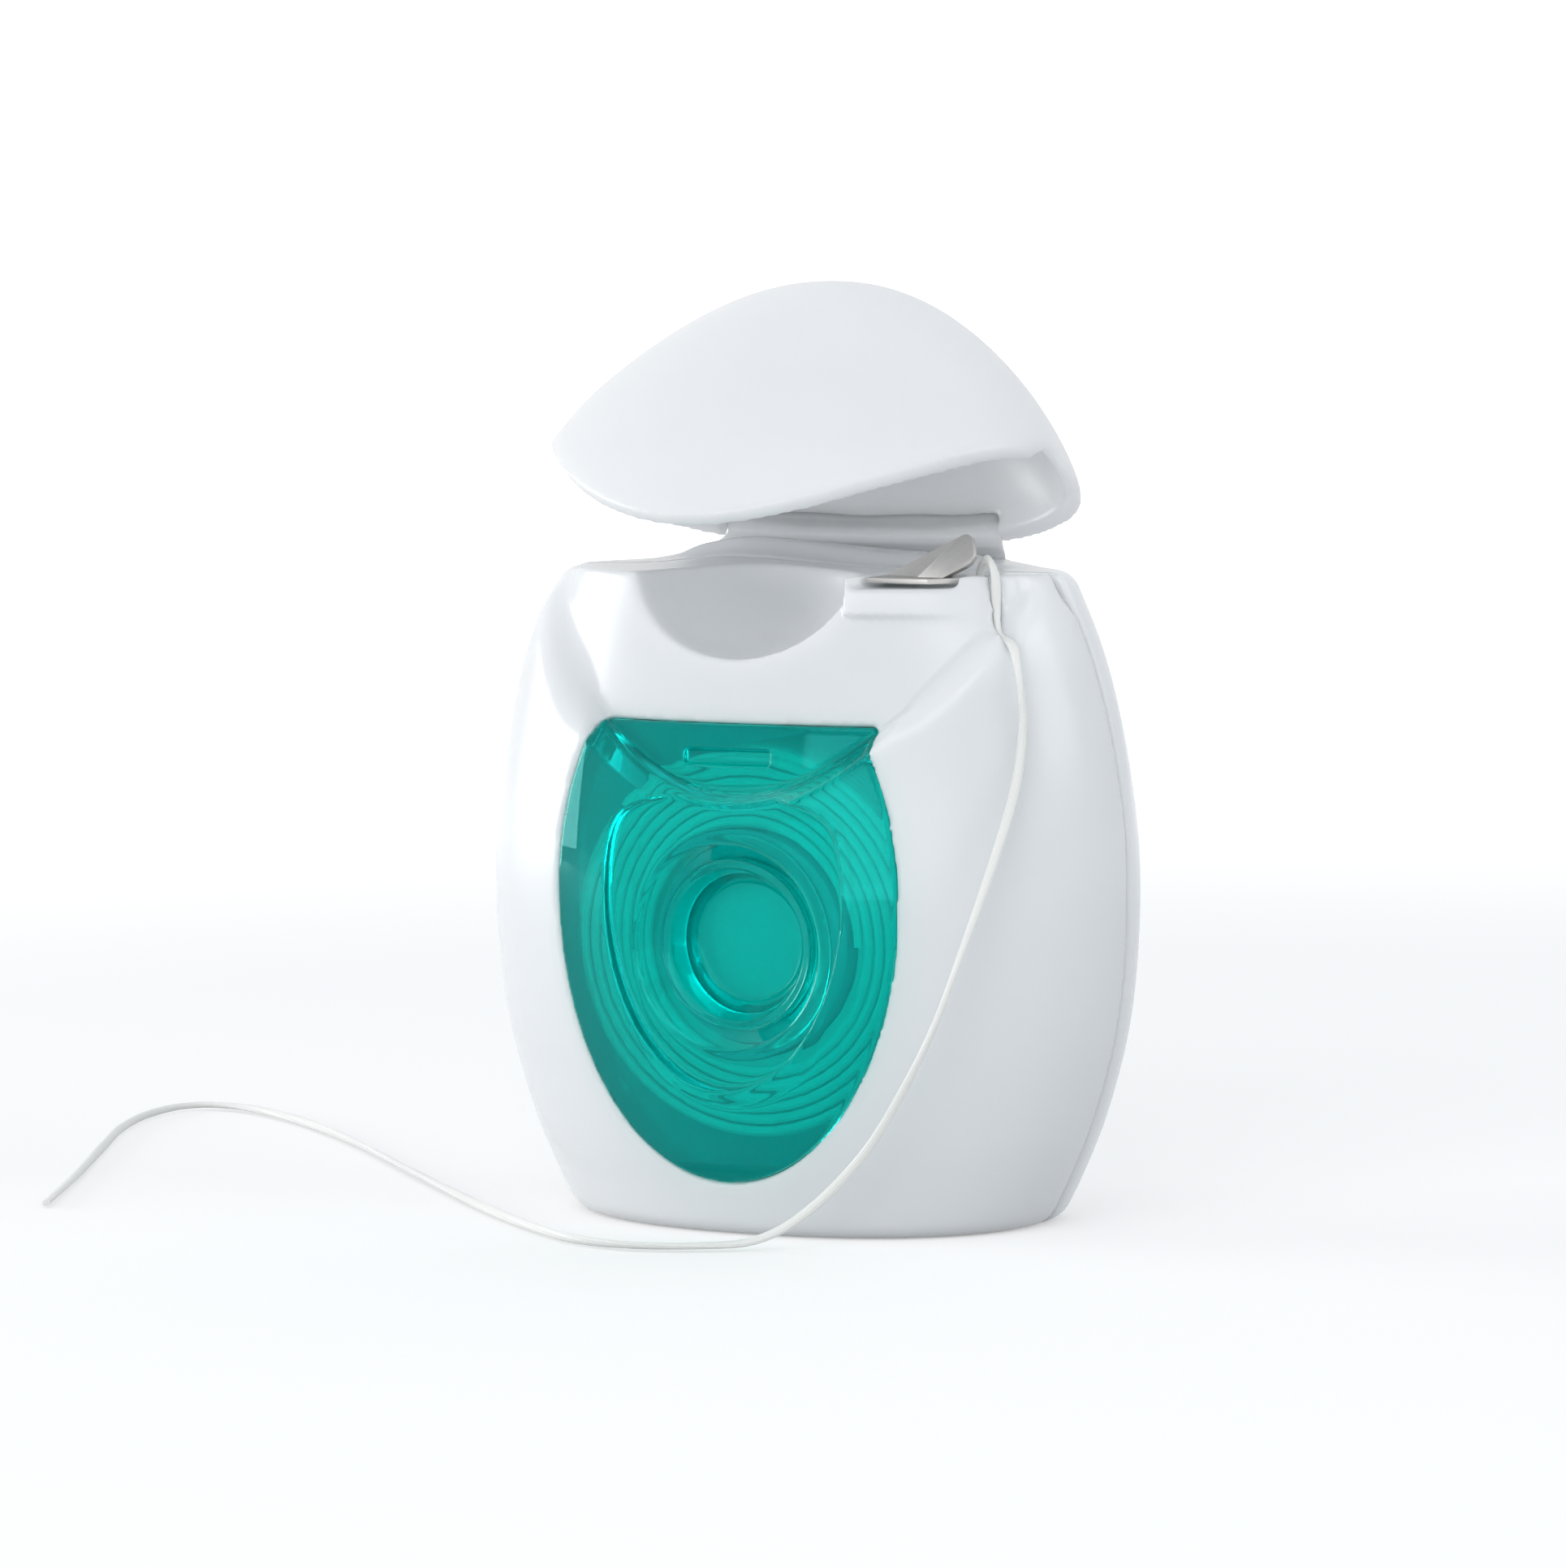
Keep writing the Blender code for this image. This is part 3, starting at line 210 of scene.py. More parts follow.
# Lid, drawn closed and turned open about the hinge axis
LID_RISE = 0.0134
LID_FLARE = 0.0007
LID_FLARE_DROP = 0.0064
LID_FLARE_START_Z = BODY_HEIGHT - LID_FLARE_DROP
CROWN_FORWARD = 0.0038
CROWN_FORWARD_POWER = 2.0
CROWN_WIDTH_POWER = 1.21
CROWN_DEPTH_POWER = 1.55
CROWN_TOP_SHARE = 0.998
RIM_GAP = 0.00035
TONGUE_GAP = 0.0005
REAR_RIM_LIFT = 0.00075
REAR_RIM_Z = BODY_HEIGHT + REAR_RIM_LIFT
REAR_RIM_START_Y = 0.0025
NOTCH_LIFT = 0.0022
NOTCH_SIDE_GAP = 0.0003
LATCH_WIDTH = 0.0052
LATCH_HEIGHT = 0.0005
LATCH_REACH = 0.0005
OPEN_ANGLE_DEG = 42.0
HINGE_INSET = 0.0006
HINGE_LIFT = 0.0015
HINGE_Y = REAR_DEPTH - HINGE_INSET
HINGE_Z = BODY_HEIGHT + HINGE_LIFT
HINGE_HALF_WIDTH = 0.0110
NOTCH_Z = BODY_HEIGHT + NOTCH_LIFT
NOTCH_HALF_WIDTH = HINGE_HALF_WIDTH + NOTCH_SIDE_GAP

# Raised rear deck that the living hinge stands on
PLATEAU_HALF_WIDTH = 0.0160
PLATEAU_RISE = 0.0008
PLATEAU_SHOULDER = 0.0010
PLATEAU_FRONT_Y = 0.0022

# Free floss: from the exit over the guide, down the front and along the floor
TAIL_STEPS = 6
TAIL_ROUTE = (
    (0.0150, -0.0030, 0.0450), (0.0150, -0.0030, 0.0460), (0.0152, -0.0032, 0.0468),
    (0.0156, -0.0035, 0.0473), (0.0161, -0.0039, 0.0475), (0.0167, -0.0044, 0.0472),
    (0.0171, -0.0047, 0.0465), (0.0172, -0.0048, 0.0455), (0.0172, -0.0048, 0.0443),
    (0.0173, -0.0049, 0.0432), (0.0177, -0.0052, 0.0424), (0.0183, -0.0057, 0.0421),
    (0.0191, -0.0064, 0.0419), (0.0198, -0.0071, 0.0414), (0.0203, -0.0076, 0.0402),
    (0.0207, -0.0079, 0.0384), (0.0209, -0.0081, 0.0360), (0.0209, -0.0094, 0.0320),
    (0.0202, -0.0115, 0.0270), (0.0188, -0.0132, 0.0215), (0.0171, -0.0145, 0.0160),
    (0.0149, -0.0157, 0.0110), (0.0122, -0.0166, 0.0066), (0.0085, -0.0177, 0.0028),
    (0.0050, -0.0188, 0.0008), (0.0010, -0.0208, 0.00045), (-0.0035, -0.0222, 0.00045),
    (-0.0085, -0.0212, 0.00045), (-0.0142, -0.0175, 0.00045), (-0.0210, -0.0120, 0.00045),
    (-0.0286, -0.0052, 0.00045), (-0.0376, 0.0030, 0.00045), (-0.0468, 0.0114, 0.00045),
    (-0.0545, 0.0178, 0.00045), (-0.0611, 0.0224, 0.00045), (-0.0668, 0.0250, 0.00045),
    (-0.0706, 0.0240, 0.00045), (-0.0709, 0.0186, 0.00045), (-0.0684, 0.0110, 0.00045),
    (-0.0640, 0.0020, 0.00045), (-0.0580, -0.0100, 0.00045), (-0.0520, -0.0227, 0.00045),
)
LEAD_STEPS = 12

# Fineness of the surfaces
PLAN_STEPS = 160
CORE_STEPS = 120
HEIGHT_RINGS = 48
CORE_RINGS = 32
ROUND_RINGS = 5
CROWN_RINGS = 30
SCOOP_STEPS = 72
SCOOP_RINGS = 40
HOLE_STEPS = 32
TAB_STEPS = 16
OUTLINE_STEPS = 72
SIDE_STEPS = 12
TURN_STEPS = 96
OVERRUN = 0.0040
AHEAD_Y = -FRONT_BULGE - OVERRUN
BELOW_Z = -OVERRUN
ABOVE_Z = BODY_HEIGHT + OVERRUN
BESIDE_X = BODY_WIDTH / 2 + OVERRUN
MERGE_DISTANCE = 0.00001
SHARP_ANGLE_DEG = 32.0

# Low dome of the deck behind the scoop
DOME_X = -0.0065
DOME_Y = 0.0028
DOME_LEFT = 0.0050
DOME_RIGHT = 0.0085
DOME_DEPTH = 0.0044
DOME_RISE = 0.0011
DOME_FADE = 0.0030

# Corner of the lid's rim, in the closed lid
LID_CORNER = (0.0192, -0.0036, 0.0463)

# Strength of the floor's own white near the object
FLOOR_GLOW = 0.42

# Lamps: place, height of the target on the object's axis, size, power and colour
LAMPS = {
    "key": ((-0.76, -0.10, 0.12), 0.04, (0.35, 0.35), 2.2, (1, 1, 1)),
    "glint": ((-0.72, -0.28, 0.13), 0.04, (0.18, 0.22), 0.6, (1, 1, 1)),
    "fill": ((0.65, 0.02, 0.35), 0.04, (0.40, 0.40), 0.95, (0.95, 0.975, 1.0)),
    "front": ((0.05, -0.68, 0.06), 0.05, (0.60, 0.25), 0.9, (1, 1, 1)),
    "high_front": ((0.05, -0.60, 0.42), 0.04, (0.60, 0.30), 1.1, (1, 1, 1)),
    "top": ((0.00, 0.10, 0.65), 0.04, (0.50, 0.40), 0.3, (1, 1, 1)),
}

# Softening of the moulded edges: voxel size and rounds of smoothing
SHELL_SOFTENING = (0.00020, 14)
LID_SOFTENING = (0.00020, 10)
WINDOW_SOFTENING = (0.00014, 6)
WEB_SOFTENING = (0.00014, 6)

# Zones that are softened further: reach from the edge, and where each fades in or out
BAND_ZONE_DROP = 0.0008
BAND_ZONE_LEFT = 0.0022
BAND_ZONE_RIGHT = 0.0010
BAND_FADE_X = (0.0122, 0.0150)
BAND_FADE_Y = (-0.0030, 0.0010)
SCOOP_ZONE = 0.0022
SCOOP_FADE_X = (-0.0040, 0.0060)
PAD_ZONE = 0.0007
PAD_FADE_LEFT = (0.0004, 0.0012)
PAD_FADE_RIGHT = 0.0010
PAD_FADE_Y = (0.0050, 0.0060)
CORNER_ZONE = 0.0036
DECK_FADE_Z = (0.0012, 0.0005)
DECK_FADE_FRONT = (0.0004, 0.0012)
DECK_FADE_REAR = (-0.0078, -0.0066)
ZONE_LEVELS = 12

# Living hinge's sections from deck to lid: front, back and height from the axis, half width, turn
WEB_SIDES = 96
WEB_SECTIONS = (
    (-0.0036, -0.0005, -0.0013, 0.0124, 0.0),
    (-0.0031, -0.0005, -0.0007, 0.0123, 0.0),
    (-0.0021, -0.0003, -0.0005, 0.0120, 0.0),
    (-0.0013, 0.0000, -0.0003, 0.0117, 0.0),
    (-0.0007, 0.0002, -0.0001, 0.0114, 0.2),
    (-0.0004, 0.0003, 0.0, 0.0113, 0.5),
    (-0.0008, 0.0002, 0.0002, 0.0114, 0.8),
    (-0.0015, 0.0000, 0.0005, 0.0116, 1.0),
    (-0.0016, -0.0003, 0.0008, 0.0118, 1.0),
    (-0.0014, -0.0007, 0.0013, 0.0118, 1.0),
    (-0.0013, -0.0009, 0.0018, 0.0118, 1.0),
)

AXIS_TURNS = {
    "X": Matrix(((0, 0, 1), (1, 0, 0), (0, 1, 0))).to_4x4(),
    "Y": Matrix(((1, 0, 0), (0, 0, -1), (0, 1, 0))).to_4x4(),
    "Z": Matrix.Identity(4),
}
SCRATCH = []


def open_turn(share):
    """Turn about the hinge axis, by a share of the open angle."""
    axis = Vector((0, HINGE_Y, HINGE_Z))
    return (Matrix.Translation(axis) @ Matrix.Rotation(-radians(OPEN_ANGLE_DEG) * share, 4, "X")
            @ Matrix.Translation(-axis))


def link_object(name, data):
    """Object for a mesh, curve, lamp or camera, linked to the scene."""
    obj = bpy.data.objects.new(name, data)
    bpy.context.scene.collection.objects.link(obj)
    return obj


def add_object(name, mesh):
    """Scratch object, measured from the seam plane."""
    obj = link_object(name, mesh)
    obj.hide_render = True
    SCRATCH.append(obj)
    return obj


def evaluated_mesh(obj):
    """Mesh of an object as its modifiers leave it."""
    bpy.context.view_layer.update()
    return bpy.data.meshes.new_from_object(obj.evaluated_get(bpy.context.evaluated_depsgraph_get()))


def modify(obj, kind, **settings):
    """Object with one more modifier and its settings."""
    modifier = obj.modifiers.new(kind, kind)
    for key, value in settings.items():
        setattr(modifier, key, value)
    return obj


def cut(obj, *tools, operation="DIFFERENCE"):
    """Cut tools out of an object, one after the other."""
    for tool in tools:
        modify(obj, "BOOLEAN", object=tool, operation=operation, solver="EXACT")
    return obj


def join(obj, tool):
    """Join an object with a tool."""
    return cut(obj, tool, operation="UNION")


def overlap(obj, tool):
    """Keep what an object shares with a tool."""
    return cut(obj, tool, operation="INTERSECT")


def mesh_object(name, bm, merge=MERGE_DISTANCE):
    """Scratch object from a bmesh, merged and with its faces turned outward."""
    bmesh.ops.remove_doubles(bm, verts=bm.verts, dist=merge)
    bmesh.ops.recalc_face_normals(bm, faces=bm.faces)
    mesh = bpy.data.meshes.new(name)
    bm.to_mesh(mesh)
    bm.free()
    return add_object(name, mesh)


def evaluated_copy(source, name):
    """Plain object from one with modifiers or a curve, which is removed."""
    bm = bmesh.new()
    bm.from_mesh(evaluated_mesh(source))
    SCRATCH.remove(source)
    bpy.data.objects.remove(source)
    return mesh_object(name, bm)


def loft(name, rings, merge=MERGE_DISTANCE):
    """Closed mesh through rings of points, lowest ring first."""
    bm = bmesh.new()
    loops = [[bm.verts.new(point) for point in ring] for ring in rings]
    for lower, upper in zip(loops, loops[1:]):
        for index in range(len(lower)):
            after = (index + 1) % len(lower)
            bm.faces.new((lower[index], lower[after], upper[after], upper[index]))
    bm.faces.new(list(reversed(loops[0])))
    bm.faces.new(loops[-1])
    return mesh_object(name, bm, merge)


def prism(name, outline, near, far, along):
    """Solid of a flat outline, extruded from near to far along an axis."""
    curve = bpy.data.curves.new(name, "CURVE")
    curve.dimensions = "2D"
    curve.fill_mode = "BOTH"
    curve.extrude = (far - near) / 2
    spline = curve.splines.new("POLY")
    spline.points.add(len(outline) - 1)
    spline.use_cyclic_u = True
    for point, (first, second) in zip(spline.points, outline):
        point.co = (first, second, 0, 1)
    solid = evaluated_copy(add_object(name + "_outline", curve), name)
    middle = [(near + far) / 2 if axis == along else 0.0 for axis in "XYZ"]
    solid.data.transform(Matrix.Translation(middle) @ AXIS_TURNS[along])
    return solid


def block(name, low, high):
    """Box between two corners."""
    low, high = Vector(low), Vector(high)
    bm = bmesh.new()
    bmesh.ops.create_cube(bm, size=1.0)
    bmesh.ops.scale(bm, vec=high - low, verts=bm.verts)
    bmesh.ops.translate(bm, vec=(low + high) / 2, verts=bm.verts)
    return mesh_object(name, bm)


def cone_y(name, near, far, near_radius, far_radius):
    """Cylinder or cone along the hub's axis, from near to far."""
    bm = bmesh.new()
    bmesh.ops.create_cone(bm, cap_ends=True, segments=TURN_STEPS, radius1=near_radius,
                          radius2=far_radius, depth=far - near)
    bm.transform(Matrix.Translation((0, (near + far) / 2, HUB_Z)) @ Matrix.Rotation(-pi / 2, 4, "X"))
    return mesh_object(name, bm)


def turned_y(name, profile):
    """Ring turned about the hub's axis from a closed profile of radius and Y."""
    mesh = bpy.data.meshes.new(name)
    edges = [(index, (index + 1) % len(profile)) for index in range(len(profile))]
    mesh.from_pydata([(radius, 0, -y) for radius, y in profile], edges, [])
    source = modify(add_object(name + "_profile", mesh), "SCREW", steps=TURN_STEPS, render_steps=TURN_STEPS,
                    use_merge_vertices=True, merge_threshold=MERGE_DISTANCE)
    solid = evaluated_copy(source, name)
    solid.data.transform(Matrix.Translation((0, 0, HUB_Z)) @ Matrix.Rotation(pi / 2, 4, "X"))
    return solid


def share_at(height_share, shares):
    """Smooth value of a housing profile at a share of the height."""
    last = len(HEIGHT_SHARES) - 1
    height_share = min(max(height_share, 0.0), 1.0)
    index = min(sum(height <= height_share for height in HEIGHT_SHARES) - 1, last - 1)

    def slope(point):
        low, high = max(point - 1, 0), min(point + 1, last)
        return (shares[high] - shares[low]) / (HEIGHT_SHARES[high] - HEIGHT_SHARES[low])

    span = HEIGHT_SHARES[index + 1] - HEIGHT_SHARES[index]
    t = (height_share - HEIGHT_SHARES[index]) / span
    start, end = shares[index], shares[index + 1]
    rise = t * t * (3 - 2 * t)
    tangents = (t ** 3 - 2 * t * t + t) * slope(index) + (t ** 3 - t * t) * slope(index + 1)
    return start + (end - start) * rise + span * tangents


def bent(value, power):
    """Value raised to a power, with its sign kept."""
    return copysign(abs(value) ** power, value)


def mirrored(points):
    """Points of one side for the other side, in the opposite order."""
    return [(-x, z) for x, z in reversed(points)]


def plan_ring(half_width, front, rear, z, steps, shift=0.0):
    """Ring of the rounded plan: a wide oval, deeper at the front than at the rear."""
    ring = []
    for step in range(steps):
        angle = 2 * pi * step / steps
        across, along = cos(angle), sin(angle)
        reach, power = (rear, REAR_POWER) if along > 0 else (front, FRONT_POWER)
        ring.append((half_width * bent(across, 2 / power), reach * bent(along, 2 / power) + shift, z))
    return ring


def housing_size(z):
    """Half width, front bulge and rear depth of the housing at a height."""
    share = z / BODY_HEIGHT
    return (BODY_WIDTH / 2 * share_at(share, WIDTH_SHARES), FRONT_BULGE * share_at(share, FRONT_SHARES),
            REAR_DEPTH * share_at(share, REAR_SHARES))


def housing_ring(z, side, front, rear, steps):
    """Ring of the housing at a height, drawn in by the given insets."""
    half_width, bulge, depth = housing_size(z)
    return plan_ring(half_width - side, bulge - front, depth - rear, z, steps)


def housing_form(name):
    """Outer form of the closed housing, with its base and deck edges rounded."""
    low, high = BASE_ROUND, BODY_HEIGHT - DECK_ROUND
    angles = [pi / 2 * step / ROUND_RINGS for step in range(ROUND_RINGS + 1)]
    levels = [(low * (1 - cos(angle)), low * (1 - sin(angle))) for angle in angles]
    levels += [(low + (high - low) * step / HEIGHT_RINGS, 0.0) for step in range(1, HEIGHT_RINGS)]
    levels += [(high + DECK_ROUND * sin(angle), DECK_ROUND * (1 - cos(angle))) for angle in angles]
    return loft(name, [housing_ring(z, inset, inset, inset, PLAN_STEPS) for z, inset in levels])


def core_form(name, side, front=None, rear=None, low=None, high=None):
    """Form of the housing drawn in by insets."""
    front, rear, low = (side if value is None else value for value in (front, rear, low))
    high = BODY_HEIGHT - side if high is None else high
    heights = [low + (high - low) * step / CORE_RINGS for step in range(CORE_RINGS + 1)]
    return loft(name, [housing_ring(z, side, front, rear, CORE_STEPS) for z in heights])


def ledge_z(x):
    """Height of the ledge under the lid's tongue, lowest in the middle."""
    return LEDGE_LOW_Z + LEDGE_RISE * (abs(x) / LEDGE_HALF_WIDTH) ** LEDGE_POWER


def ledge_line(lift):
    """Points along the ledge from left to right, raised by lift."""
    across = [BODY_WIDTH / 2 * (2 * step / OUTLINE_STEPS - 1) for step in range(OUTLINE_STEPS + 1)]
    return [(x, ledge_z(x) + lift) for x in across]


def facet_zone(name, wall):
    """Space in front of the sunken facet and above the ledge, a wall larger all round."""
    top = BODY_HEIGHT + LID_RISE
    outline = ledge_line(-wall) + [(BODY_WIDTH / 2, top), (-BODY_WIDTH / 2, top)]
    zone = prism(name, outline, AHEAD_Y, FACET_BACK_Y + wall, "Y")
    core = core_form(name + "_core", FACET_SIDE_RECESS + wall, FACET_RECESS + wall, -OVERRUN,
                     LEDGE_LOW_Z - OVERRUN, ABOVE_Z)
    return cut(zone, core)


def front_y(x, z, side, front):
    """Y of the front at a place on it, drawn in by insets."""
    half_width, bulge, _ = housing_size(z)
    across = min(abs(x) / (half_width - side), 0.97)
    return -(bulge - front) * (1 - across ** FRONT_POWER) ** (1 / FRONT_POWER)


def cut_facet(obj, name):
    """Cut the sunken facet and the slanted band that leads down to it."""
    cut(obj, facet_zone(name, 0.0))
    rings = []
    for step in range(OUTLINE_STEPS + 1):
        x = BAND_HALF_WIDTH * sin(pi / 2 * (2 * step / OUTLINE_STEPS - 1))
        share = (x / BAND_HALF_WIDTH + 1) / 2
        reach = (BAND_LEFT + (BAND_RIGHT - BAND_LEFT) * share) * (1 - 0.9 * abs(2 * share - 1) ** 8)
        inner, outer = ledge_z(x) + BAND_OVERLAP, ledge_z(x) - reach
        rings.append([(x, front_y(x, inner, FACET_SIDE_RECESS, FACET_RECESS) - BAND_OVERLAP / 2, inner),
                      (x, front_y(x, outer, 0.0, 0.0) - BAND_OVERLAP / 2, outer),
                      (x, AHEAD_Y, (inner + outer) / 2)])
    cut(obj, loft(name + "_band", rings))


def scoop_form(name, wall):
    """Ellipsoid of the thumb scoop, a wall thickness larger all round."""
    size = (SCOOP_HALF_WIDTH + wall, SCOOP_HALF_DEPTH + wall, SCOOP_HALF_HEIGHT + wall)
    bm = bmesh.new()
    bmesh.ops.create_uvsphere(bm, u_segments=SCOOP_STEPS, v_segments=SCOOP_RINGS, radius=1.0)
    bmesh.ops.scale(bm, vec=size, verts=bm.verts)
    bmesh.ops.translate(bm, vec=(SCOOP_X, SCOOP_Y, BODY_HEIGHT + SCOOP_RISE), verts=bm.verts)
    return mesh_object(name, bm)


def half_ellipse(half_width, drop):
    """Points from right to left along the half ellipse below the widest line."""
    angles = [pi * step / OUTLINE_STEPS for step in range(OUTLINE_STEPS + 1)]
    return [(half_width * cos(angle), WINDOW_WIDEST_Z - drop * sin(angle)) for angle in angles]


def window_outline(grow):
    """Outline of the window: half an ellipse below, a cut ellipse and chamfers above."""
    lower = half_ellipse(WINDOW_HALF_WIDTH + grow, WINDOW_WIDEST_Z - WINDOW_BOTTOM_Z + grow)
    end_angle = asin((WINDOW_CHAMFER_Z - WINDOW_WIDEST_Z) / WINDOW_UPPER_REACH)
    left = []
    for step in range(1, SIDE_STEPS + 1):
        angle = end_angle * step / SIDE_STEPS
        left.append((-(WINDOW_HALF_WIDTH + grow) * cos(angle),
                     WINDOW_WIDEST_Z + WINDOW_UPPER_REACH * sin(angle)))
    left.append((-WINDOW_CORNER_X - grow, WINDOW_TOP_Z + grow))
    lean = WINDOW_LEAN / (WINDOW_TOP_Z - WINDOW_BOTTOM_Z)
    return [(x - lean * (z - WINDOW_BOTTOM_Z), z) for x, z in lower + left + mirrored(left)]


def dish_outline(grow):
    """Outline of the dish: half an ellipse below, narrowing above."""
    half_width, rise = DISH_HALF_WIDTH + grow, DISH_TOP_Z - WINDOW_WIDEST_Z + grow
    left = [(-half_width * across, WINDOW_WIDEST_Z + rise * up) for across, up in DISH_TOP_SHARES]
    return half_ellipse(half_width, WINDOW_WIDEST_Z - DISH_BOTTOM_Z + grow) + left + mirrored(left)


def front_cavity():
    """Hollow of the front shell, behind the facet, the scoop and the exit's corner."""
    tower = block("exit_tower", (EXIT_X - TOWER_REACH, -FRONT_BULGE, BODY_HEIGHT - TOWER_DEPTH),
                  (BODY_WIDTH / 2, EXIT_Y + TOWER_BACK, ABOVE_Z))
    return cut(core_form("front_cavity", WALL), facet_zone("facet_backing", WALL),
               scoop_form("scoop_backing", WALL), tower)


def exit_cutters():
    """The exit hole and the open guide from it over the corner."""
    bm = bmesh.new()
    middle = Matrix.Translation((EXIT_X, EXIT_Y, BODY_HEIGHT))
    bmesh.ops.create_cone(bm, cap_ends=True, segments=HOLE_STEPS, radius1=EXIT_RADIUS, radius2=EXIT_RADIUS,
                          depth=2 * (TOWER_DEPTH + OVERRUN), matrix=middle)
    hole = mesh_object("exit_hole", bm)
    floor = [(along * GUIDE_RUN, BODY_HEIGHT - down * GUIDE_DROP) for along, down in GUIDE_SHARES]
    outline = floor + [(floor[-1][0], ABOVE_Z), (floor[0][0], ABOVE_Z)]
    guide = prism("exit_guide", outline, -GUIDE_WIDTH / 2, GUIDE_WIDTH / 2, "Y")
    guide.data.transform(Matrix.Translation((EXIT_X, EXIT_Y, 0))
                         @ Matrix.Rotation(radians(GUIDE_TURN_DEG), 4, "Z"))
    return hole, guide


def cutter_pad():
    """Raised pad in front of the deck that carries the cutter plate."""
    pad = block("cutter_pad", (PAD_LEFT_X, -FRONT_BULGE, BODY_HEIGHT - PAD_DEPTH),
                (PAD_RIGHT_X, PAD_BACK_Y, BODY_HEIGHT))
    core = core_form("pad_core", PAD_INSET, low=LEDGE_LOW_Z, high=ABOVE_Z)
    return overlap(pad, core)


def build_front_shell():
    """Front shell with its facet, scoop, cutter pad, floss exit and window opening."""
    shell = housing_form("front_shell_form")
    cut(shell, block("behind_seam", (-BESIDE_X, -SEAM_GAP / 2, BELOW_Z),
                     (BESIDE_X, REAR_DEPTH + OVERRUN, ABOVE_Z)))
    cut_facet(shell, "facet")
    cut(shell, scoop_form("scoop", 0.0))
    join(shell, cutter_pad())
    seat = block("plate_seat", (PLATE_LEFT_X - FIT_GAP, -FRONT_BULGE, BODY_HEIGHT - PLATE_SINK),
                 (PLATE_RIGHT_X + FIT_GAP, PLATE_BACK_Y + FIT_GAP, ABOVE_Z))
    opening = prism("window_opening", window_outline(SEAM_GAP / 3), AHEAD_Y, WINDOW_BACK_Y, "Y")
    return cut(shell, front_cavity(), seat, opening, *exit_cutters())


def rear_plateau():
    """Raised rear deck: a low step for the hinge between two shoulders."""
    seat = HINGE_HALF_WIDTH + FIT_GAP
    right = [(PLATEAU_HALF_WIDTH, BODY_HEIGHT - WALL), (PLATEAU_HALF_WIDTH, BODY_HEIGHT),
             (seat + PLATEAU_SHOULDER, BODY_HEIGHT + PLATEAU_RISE / 2), (seat, BODY_HEIGHT + PLATEAU_RISE)]
    plateau = prism("rear_deck", right + mirrored(right), PLATEAU_FRONT_Y, REAR_DEPTH, "Y")
    core = core_form("rear_deck_core", WALL / 2, low=BODY_HEIGHT - 2 * WALL, high=ABOVE_Z)
    return overlap(plateau, core)


def build_rear_shell():
    """Shallow rear shell with its lip, the bobbin's post and the raised deck."""
    shell = housing_form("rear_shell_form")
    cut(shell, block("ahead_of_seam", (-BESIDE_X, AHEAD_Y, BELOW_Z), (BESIDE_X, SEAM_GAP / 2, ABOVE_Z)))
    ahead = block("ahead_of_lip", (-BESIDE_X, AHEAD_Y, BELOW_Z), (BESIDE_X, -LIP_REACH, ABOVE_Z))
    join(shell, cut(core_form("seam_lip", WALL + FIT_GAP), ahead))
    cut(shell, core_form("rear_cavity", WALL + FIT_GAP + LIP_WALL))
    join(shell, rear_plateau())
    return join(shell, cone_y("hub_post", WELL_BACK_Y + FIT_GAP, REAR_DEPTH - WALL, BOSS_RADIUS, BOSS_RADIUS))


def window_cavity():
    """Space behind the insert's wall, the dish's floor and the boss."""
    root = DISH_BACK_Y - BAND_OVERLAP
    return cut(core_form("window_cavity", WALL + FIT_GAP + FLANGE_WALL),
               facet_zone("window_facet_backing", WALL),
               prism("dish_backing", dish_outline(DISH_WALL), AHEAD_Y, DISH_BACK_Y, "Y"),
               cone_y("boss", -FRONT_BULGE, WELL_BACK_Y, BOSS_RADIUS, BOSS_RADIUS),
               cone_y("boss_root", root, root + FUNNEL_DEPTH + BAND_OVERLAP, FUNNEL_RADIUS + DISH_WALL,
                      BOSS_RADIUS - BAND_OVERLAP))


def window_flange():
    """Flange behind the front shell's wall that holds the insert in its opening."""
    ring = prism("window_flange", window_outline(FLANGE_RIM), AHEAD_Y, WINDOW_BACK_Y, "Y")
    overlap(ring, core_form("flange_outer", WALL + FIT_GAP))
    return cut(ring, block("above_flange", (-BODY_WIDTH / 2, AHEAD_Y, LEDGE_LOW_Z - FLANGE_DROP),
                           (BODY_WIDTH / 2, 0.0, BODY_HEIGHT)))


